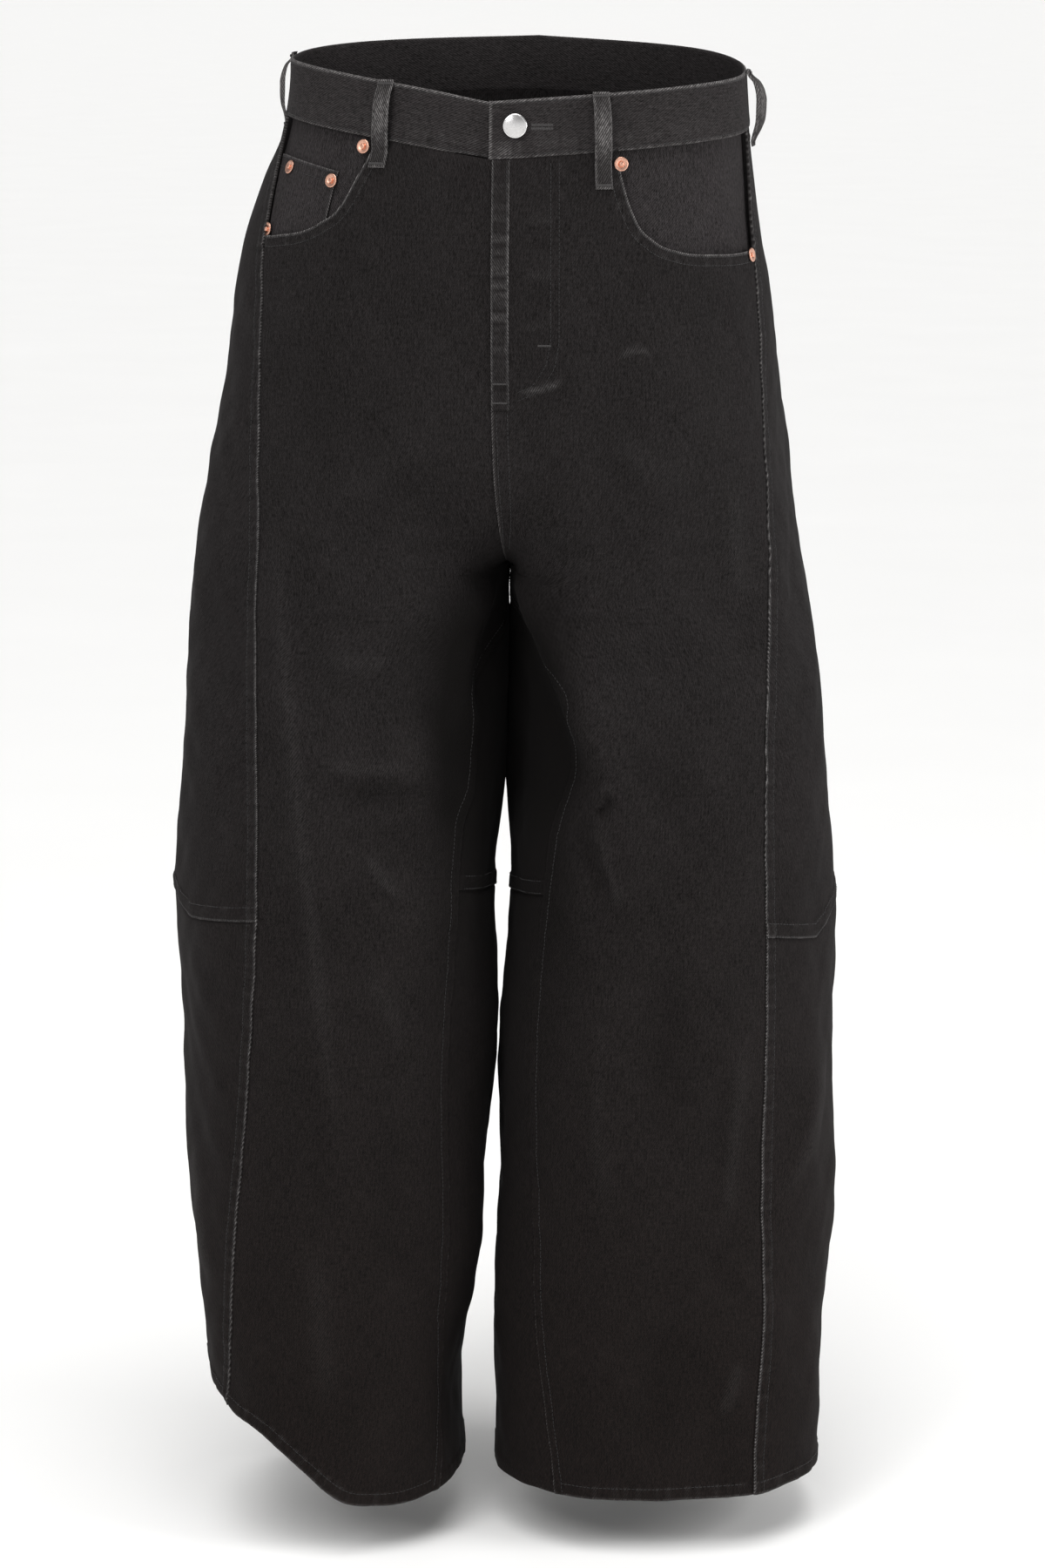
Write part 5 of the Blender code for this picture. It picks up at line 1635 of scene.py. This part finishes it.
def sew_leg(side):
    """The panels' own lines of sewing, on one half of the garment."""
    lines = LINES[side]
    front = Sewing(f"stitching_front_{side}", THREAD, "denim")
    front.sew(side, "front", lines["mouth"], 0.0018)
    front.sew(side, "front", lines["mouth"], 0.0080)
    front.sew(side, "front", lines["inner"], -0.0064)
    keys = lines["hem"][0]
    inside = (keys > inner_at(side, HEM_HEIGHT) + 0.004) & (keys < outer_at(side, HEM_HEIGHT) - 0.004)
    hem_front = (keys[inside], lines["hem"][1][inside])
    front.sew(side, "front", hem_front, -0.0096)
    if side == "left":
        low = lines["centre_front"][1] < -0.200
        seam = (lines["centre_front"][0][low], lines["centre_front"][1][low])
        front.sew(side, "front", seam, -0.0018)
        front.sew(side, "front", seam, -0.0056)
        sew_fly(front)
    front.finish_piece()

    back = Sewing(f"stitching_back_{side}", THREAD, "denim")
    for name in ("outer", "side"):
        for away in (-0.0014, -0.0086):
            around, height = shifted(side, lines[name], away)
            upper = height > knee_line(side, around) + 0.001
            for part, there in (("back_upper", upper), ("back_lower", ~upper)):
                if there.sum() > 3:
                    back.sew(side, part, (around[there], height[there]))
    back.sew(side, "back_upper", lines["knee"], -0.0015)
    back.sew(side, "back_upper", lines["knee"], -0.0108)
    outside = (keys > outer_at(side, HEM_HEIGHT + 0.03) + 0.004) & (keys < 0.998)
    back.sew(side, "back_lower", (keys[outside], lines["hem"][1][outside]), -0.0096)
    if side == "left":
        back.sew(side, "back_upper", lines["centre_back"], 0.0018)
        back.sew(side, "back_upper", lines["centre_back"], 0.0074)
    back.finish_piece()


def sew_coin_pocket():
    """Two lines below the coin pocket's top edge and one beside its inner side."""
    side = "right"
    sewing = Sewing("stitching_coin_pocket", THREAD, "denim")
    top_around, top_height = facing_grid(side, np.array([float(COIN_ROW)]), np.linspace(2.2, 8.0, 60))
    side_around, side_height = facing_grid(side, np.linspace(2.2, 6.0, 50), np.array([float(COIN_COLUMN)]))
    inward = 0.0018 * per_metre(side, side_around[:, 0], side_height[:, 0])
    lines = [(top_around[0], top_height[0] - away) for away in (0.0018, 0.0082)]
    lines.append((side_around[:, 0] + inward, side_height[:, 0]))
    for around, height in lines:
        points = form(side, around, height)
        normals = outward(side, around, height)
        lift = COIN_LIFT + THREAD_RADIUS * 0.45 + unevenness(points) + fold_depth(side, points)
        sewing.run(points + normals * lift[:, None], normals)
    sewing.finish_piece()


# The curved sewing that holds the fly's facing: x and z of its outer line, and how much of the inner line's
# inset goes sideways and how much goes up, at each of its points.
FLY_CURVE = np.array((
    (0.0300, -0.024, 1.0, 0.0),
    (0.0300, -0.090, 1.0, 0.0),
    (0.0300, -0.150, 1.0, 0.0),
    (0.0270, -0.168, 1.0, 0.4),
    (0.0200, -0.180, 0.8, 0.8),
    (0.0100, -0.188, 0.0, 1.0),
    (0.0000, -0.192, 0.0, 1.0),
))
FLY_INSET = 0.0060
FLY_SEWN_IN = 0.0014              # from each side of the fly's strip to its line of stitches


def sew_fly(sewing):
    """Both curved lines on the fly, and the two straight ones on its strip."""
    side = "left"
    for inset in (0.0, FLY_INSET):
        share = np.linspace(0, len(FLY_CURVE) - 1, 60)
        points = range(len(FLY_CURVE))
        places = np.interp(share, points, FLY_CURVE[:, 0] - inset * FLY_CURVE[:, 2])
        heights = np.interp(share, points, FLY_CURVE[:, 1] + inset * FLY_CURVE[:, 3])
        around = np.array([float(around_at_x(side, np.array(height), place, 0.0, 0.4))
                           for height, place in zip(heights, places)])
        sewing.sew(side, "front", (around, heights))
    metres = float(per_metre(side, np.array(0.01), -0.1))
    heights = np.linspace(-0.026, -0.196, 60)
    for from_centre in (FLY_SEWN_IN, FLY_WIDTH - FLY_SEWN_IN):
        line = (np.full(60, from_centre * metres), heights)
        sewing.sew(side, "front", line, 0.0, SEAM_GAP + FLY_THICKNESS)


def sew_band_edges():
    """A line of stitches near both edges of the band."""
    band_sewing = Sewing("stitching_waistband", THREAD, "denim")
    for share in (0.058, 0.942):
        points, normals = [], []
        halves = (("left", np.linspace(-TAB + 0.004, 1.0, 150)), ("right", np.linspace(1.0, 0.0, 150)[1:]))
        for owner, stations in halves:
            for around in stations:
                point, normal, side = band_face(around, [share], owner)
                lift = BAND_PROUD - band_sunk(around, owner) * (BAND_THICKNESS + SEAM_GAP) - 0.00018
                lift = lift + fold_depth(side, point)
                points.append((point + normal * lift[:, None])[0])
                normals.append(normal[0])
        band_sewing.run(np.array(points), np.array(normals))
    band_sewing.finish_piece()


HOLE_FROM = 0.0105                # x of the buttonhole's shown end, beside the button
HOLE_LENGTH = 0.0150
HOLE_HEIGHT = 0.0012
HOLE_ROW = 0.0013                 # each row of its stitches lies this far from the slit
HOLE_STITCHES = 54


def sew_buttonhole():
    """Two uneven rows of close stitches, one on each side of the slit."""
    hole = Sewing("buttonhole", THREAD_GREY, "denim", 0.00020)
    side = "left"
    for k in range(HOLE_STITCHES):
        x = HOLE_FROM + HOLE_LENGTH * (k / (HOLE_STITCHES - 1))
        for sign in (-1, 1):
            z = HOLE_HEIGHT + sign * HOLE_ROW
            around = around_at_x(side, np.array(z), x, 0.0, 0.5)
            point = form(side, around, np.array(z))
            normal = outward(side, around, np.array(z))
            lift = BAND_PROUD + 0.00005
            draw = random.Random(k * 2 + sign)
            way = np.array([draw.uniform(-0.35, 0.35), 0.0, 1.0])
            length = 0.0021 + draw.uniform(-0.0004, 0.0006)
            hole.add((point + normal * lift)[None], way[None], normal[None], length)
    hole.finish_piece()


TACK_THREADS = 34


def sew_tacks():
    """Bar tacks at both ends of each belt loop, and the three on the fly."""
    tacks = Sewing("bar_tacks", THREAD_GREY, "worn_denim", 0.00024)
    for where, side, x, drop in LOOPS:
        around, stand, foot = loop_place(where, side, x)
        profile = loop_profile(side, around, drop, stand, foot)
        metres = float(per_metre(side, np.array(around), profile[0, 0]))
        place = around + np.linspace(-0.44, 0.44, TACK_THREADS) * LOOP_WIDTH * metres
        for row, shift, higher in ((0, -0.0030, 0.0009), (-1, 0.0028, 0.0)):
            height = np.full(TACK_THREADS, profile[row, 0] + shift)
            points = form(side, place, height)
            normal = outward(side, place, height)
            lift = profile[row, 1] + LOOP_SHOWN + higher + fold_depth(side, points)
            upright = np.tile((0.0, 0.0, 1.0), (TACK_THREADS, 1))
            tacks.add(points + normal * lift[:, None], upright, normal, 0.0020)
    place = float(around_at_x("left", np.array(-0.152), 0.0195, 0.0, 0.4))
    tacks.bar("left", "front", place, -0.1525, 0.0090, 0.0016)
    for height in (-0.1800, -0.1935):
        place = 0.0062 * float(per_metre("left", np.array(0.01), height))
        tacks.bar("left", "front", place, height, 0.0100, 0.0014, SEAM_GAP + FLY_THICKNESS)
    tacks.finish_piece()


# ---------------------------------------------------------------- metal pieces

def turned(name, profile, centre, normal, segments, finish):
    """A solid of revolution: profile is (radius, height) from the axis below to the axis above."""
    normal = np.asarray(normal) / np.linalg.norm(normal)
    side_way = np.cross((0.0, 0.0, 1.0), normal)
    side_way = side_way / np.linalg.norm(side_way)
    up_way = np.cross(normal, side_way)
    turns = 2 * math.pi * np.arange(segments) / segments
    rings = side_way * np.cos(turns)[:, None] + up_way * np.sin(turns)[:, None]
    vertices = [centre + rings * radius + normal * height for radius, height in profile[1:-1]]
    ends = [[centre + normal * profile[0][1]], [centre + normal * profile[-1][1]]]
    vertices = np.concatenate(vertices + ends)
    count = len(profile) - 2
    foot, head = count * segments, count * segments + 1
    faces = []
    for k in range(segments):
        after = (k + 1) % segments
        faces.append((foot, after, k))
        for ring in range(count - 1):
            low, high = ring * segments, (ring + 1) * segments
            faces.append((low + k, low + after, high + after, high + k))
        faces.append(((count - 1) * segments + k, (count - 1) * segments + after, head))
    return new_object(name, vertices.tolist(), faces, finish)


def arc(centre, radius, first, last, steps):
    """Points of an arc in a profile, angles in degrees."""
    return [(centre[0] + radius * math.cos(math.radians(a)), centre[1] + radius * math.sin(math.radians(a)))
            for a in np.linspace(first, last, steps)]


BUTTON_X = -0.0009
BUTTON_HEIGHT = 0.0018


def button():
    """A plain domed shank button with a rolled rim."""
    around = around_at_x("left", np.array(BUTTON_HEIGHT), BUTTON_X, 0.0, 0.5)
    centre = surface("left", around, BUTTON_HEIGHT, BAND_PROUD + SEAM_GAP)
    normal = outward("left", np.array(around), np.array(BUTTON_HEIGHT))
    r = BUTTON_RADIUS
    rim = arc((r - 0.00095, 0.0028), 0.00095, -80, 100, 9)
    dome = [(r * k, 0.0034 + 0.00075 * (1 - (k / 0.86) ** 2))
            for k in (0.86, 0.84, 0.78, 0.68, 0.54, 0.38, 0.20)]
    profile = [(0, 0.0), (0.0038, 0.0), (0.0038, 0.0014), (r - 0.0016, 0.0018), *rim,
               (r * 0.885, 0.00345), *dome, (0, 0.00416)]
    piece = turned("button_steel", profile, centre, normal, 64, STEEL)
    return keep(piece, "steel", "button")


# Name, side, x, height and lift of each rivet.
RIVETS = (("mouth_left", "left", 0.0738, -0.0250, 0.0), ("side_left", "left", 0.1700, -0.0935, 0.0),
          ("mouth_right", "right", -0.1095, -0.0140, 0.0), ("side_right", "right", -0.1815, -0.0760, 0.0),
          ("coin_inner", "right", -0.1345, -0.0385, COIN_LIFT),
          ("coin_outer", "right", -0.1665, -0.0305, COIN_LIFT))


def rivet(name, side, x, height, lift):
    """A copper rivet: domed ring, sunk seat and a small burr in the middle."""
    around = around_at_x(side, np.array(height), x, 0.02, 0.5)
    centre = surface(side, around, height, lift + SEAM_GAP + 0.0003)
    normal = outward(side, around, np.array(height))
    r = RIVET_RADIUS
    ring = arc((r - 0.00060, 0.00050), 0.00060, -60, 100, 8)
    hollow = [(r - 0.0014, 0.00100), (r - 0.0022, 0.00085), (0.00235, 0.00072), (0.0020, 0.00040)]
    burr = [(0.00165, 0.00040), *arc((0.00115, 0.00150), 0.00048, 0, 90, 5), (0.0006, 0.00205)]
    profile = [(0, -0.0002), (r - 0.0003, -0.0002), *ring, *hollow, *burr, (0, 0.00200)]
    piece = turned(f"copper_rivet_{name}", profile, centre, normal, 40, COPPER)
    return keep(piece, "copper", f"rivet_{name}")


# ---------------------------------------------------------------- the garment

for leg in SIGN:
    front = front_panel(leg)
    upper = back_upper(leg)
    lower = back_lower(leg)
    facing = pocket_facing(leg)
    sew_leg(leg)
coin_pocket()
sew_coin_pocket()
waistband()
fly()
for loop in LOOPS:
    belt_loop(*loop)
sew_band_edges()
sew_buttonhole()
sew_tacks()
button()
for row in RIVETS:
    rivet(*row)


# ---------------------------------------------------------------- floor, lights and camera

FLOOR_HEIGHT = -1.072
FLOOR_REACH = 400.0


def stage_floor():
    """A plain pale floor that reaches the horizon."""
    corners = [(x * FLOOR_REACH, y * FLOOR_REACH, FLOOR_HEIGHT)
               for x, y in ((-1, -1), (1, -1), (1, 1), (-1, 1))]
    made, tree, shader = blank_material("pale floor")
    place = node(tree, "ShaderNodeTexCoord").outputs["Object"]
    grain = node(tree, "ShaderNodeTexNoise", {"Vector": place, "Scale": 3.0, "Detail": 2.0})
    pale = mixed(tree, grain.outputs["Fac"], (0.93, 0.925, 0.915, 1.0), (0.96, 0.955, 0.945, 1.0))
    tree.links.new(pale, shader.inputs["Base Color"])
    shader.inputs["Roughness"].default_value = 0.7
    mesh = bpy.data.meshes.new("floor")
    mesh.from_pydata(corners, [], [(0, 1, 2, 3)])
    mesh.materials.append(made)
    floor = bpy.data.objects.new("floor", mesh)
    bpy.context.scene.collection.objects.link(floor)


def add_light(name, kind, towards, strength, place=(0.0, 0.0, 0.0)):
    """A white studio light that shines the way given by towards."""
    data = bpy.data.lights.new(name, kind)
    data.energy = strength
    light = bpy.data.objects.new(name, data)
    light.location = place
    light.rotation_euler = Vector(towards).to_track_quat("-Z", "Y").to_euler()
    bpy.context.scene.collection.objects.link(light)
    return data


def sun(name, towards, strength, softness):
    """A wide soft light, the same over the whole floor."""
    add_light(name, "SUN", towards, strength).angle = math.radians(softness)


def softbox(name, place, aim, size, power):
    """A square lamp near the garment, so that the waist is lit more than the hems."""
    light = add_light(name, "AREA", Vector(aim) - Vector(place), power, place)
    light.size = size


SKY_LIGHT = 0.29
HORIZON_LIGHT = 0.92              # paler by the horizon, so that the background is one pale field


def light_scene():
    """A pale surround, two lamps in front and two wide soft lights from above and behind."""
    world = bpy.data.worlds.new("studio")
    world.use_nodes = True
    tree = world.node_tree
    background = tree.nodes["Background"]
    background.inputs["Color"].default_value = (1.0, 1.0, 1.0, 1.0)
    place = node(tree, "ShaderNodeTexCoord").outputs["Generated"]
    way = node(tree, "ShaderNodeSeparateXYZ", {"Vector": place})
    glow = node(tree, "ShaderNodeMapRange", {"Value": maths(tree, "ABSOLUTE", way.outputs["Z"]),
                                             "From Min": 0.06, "From Max": 0.30,
                                             "To Min": HORIZON_LIGHT, "To Max": SKY_LIGHT})
    tree.links.new(glow.outputs["Result"], background.inputs["Strength"])
    bpy.context.scene.world = world
    softbox("right", (2.25, -0.80, 0.25), (0.0, 0.0, -0.30), 1.0, 31.0)
    softbox("left", (-1.25, -1.95, 1.20), (0.0, 0.0, -0.20), 1.0, 22.0)
    sun("top", (0.05, 0.30, -1.0), 2.00, 45)
    sun("back", (0.0, -0.90, -0.55), 0.40, 40)


CAMERA_PLACE = (0.004, -3.0, 0.128)
CAMERA_PITCH = 11.8               # degrees below the horizon
CAMERA_LENS = 92.36


def add_camera():
    data = bpy.data.cameras.new("camera")
    data.lens = CAMERA_LENS
    data.sensor_width = 36.0
    data.clip_end = 2000.0
    camera = bpy.data.objects.new("camera", data)
    camera.location = CAMERA_PLACE
    camera.rotation_euler = (math.radians(90 - CAMERA_PITCH), 0.0, 0.0)
    bpy.context.scene.collection.objects.link(camera)
    bpy.context.scene.camera = camera


stage_floor()
light_scene()
add_camera()
bpy.context.scene.view_settings.view_transform = "Standard"
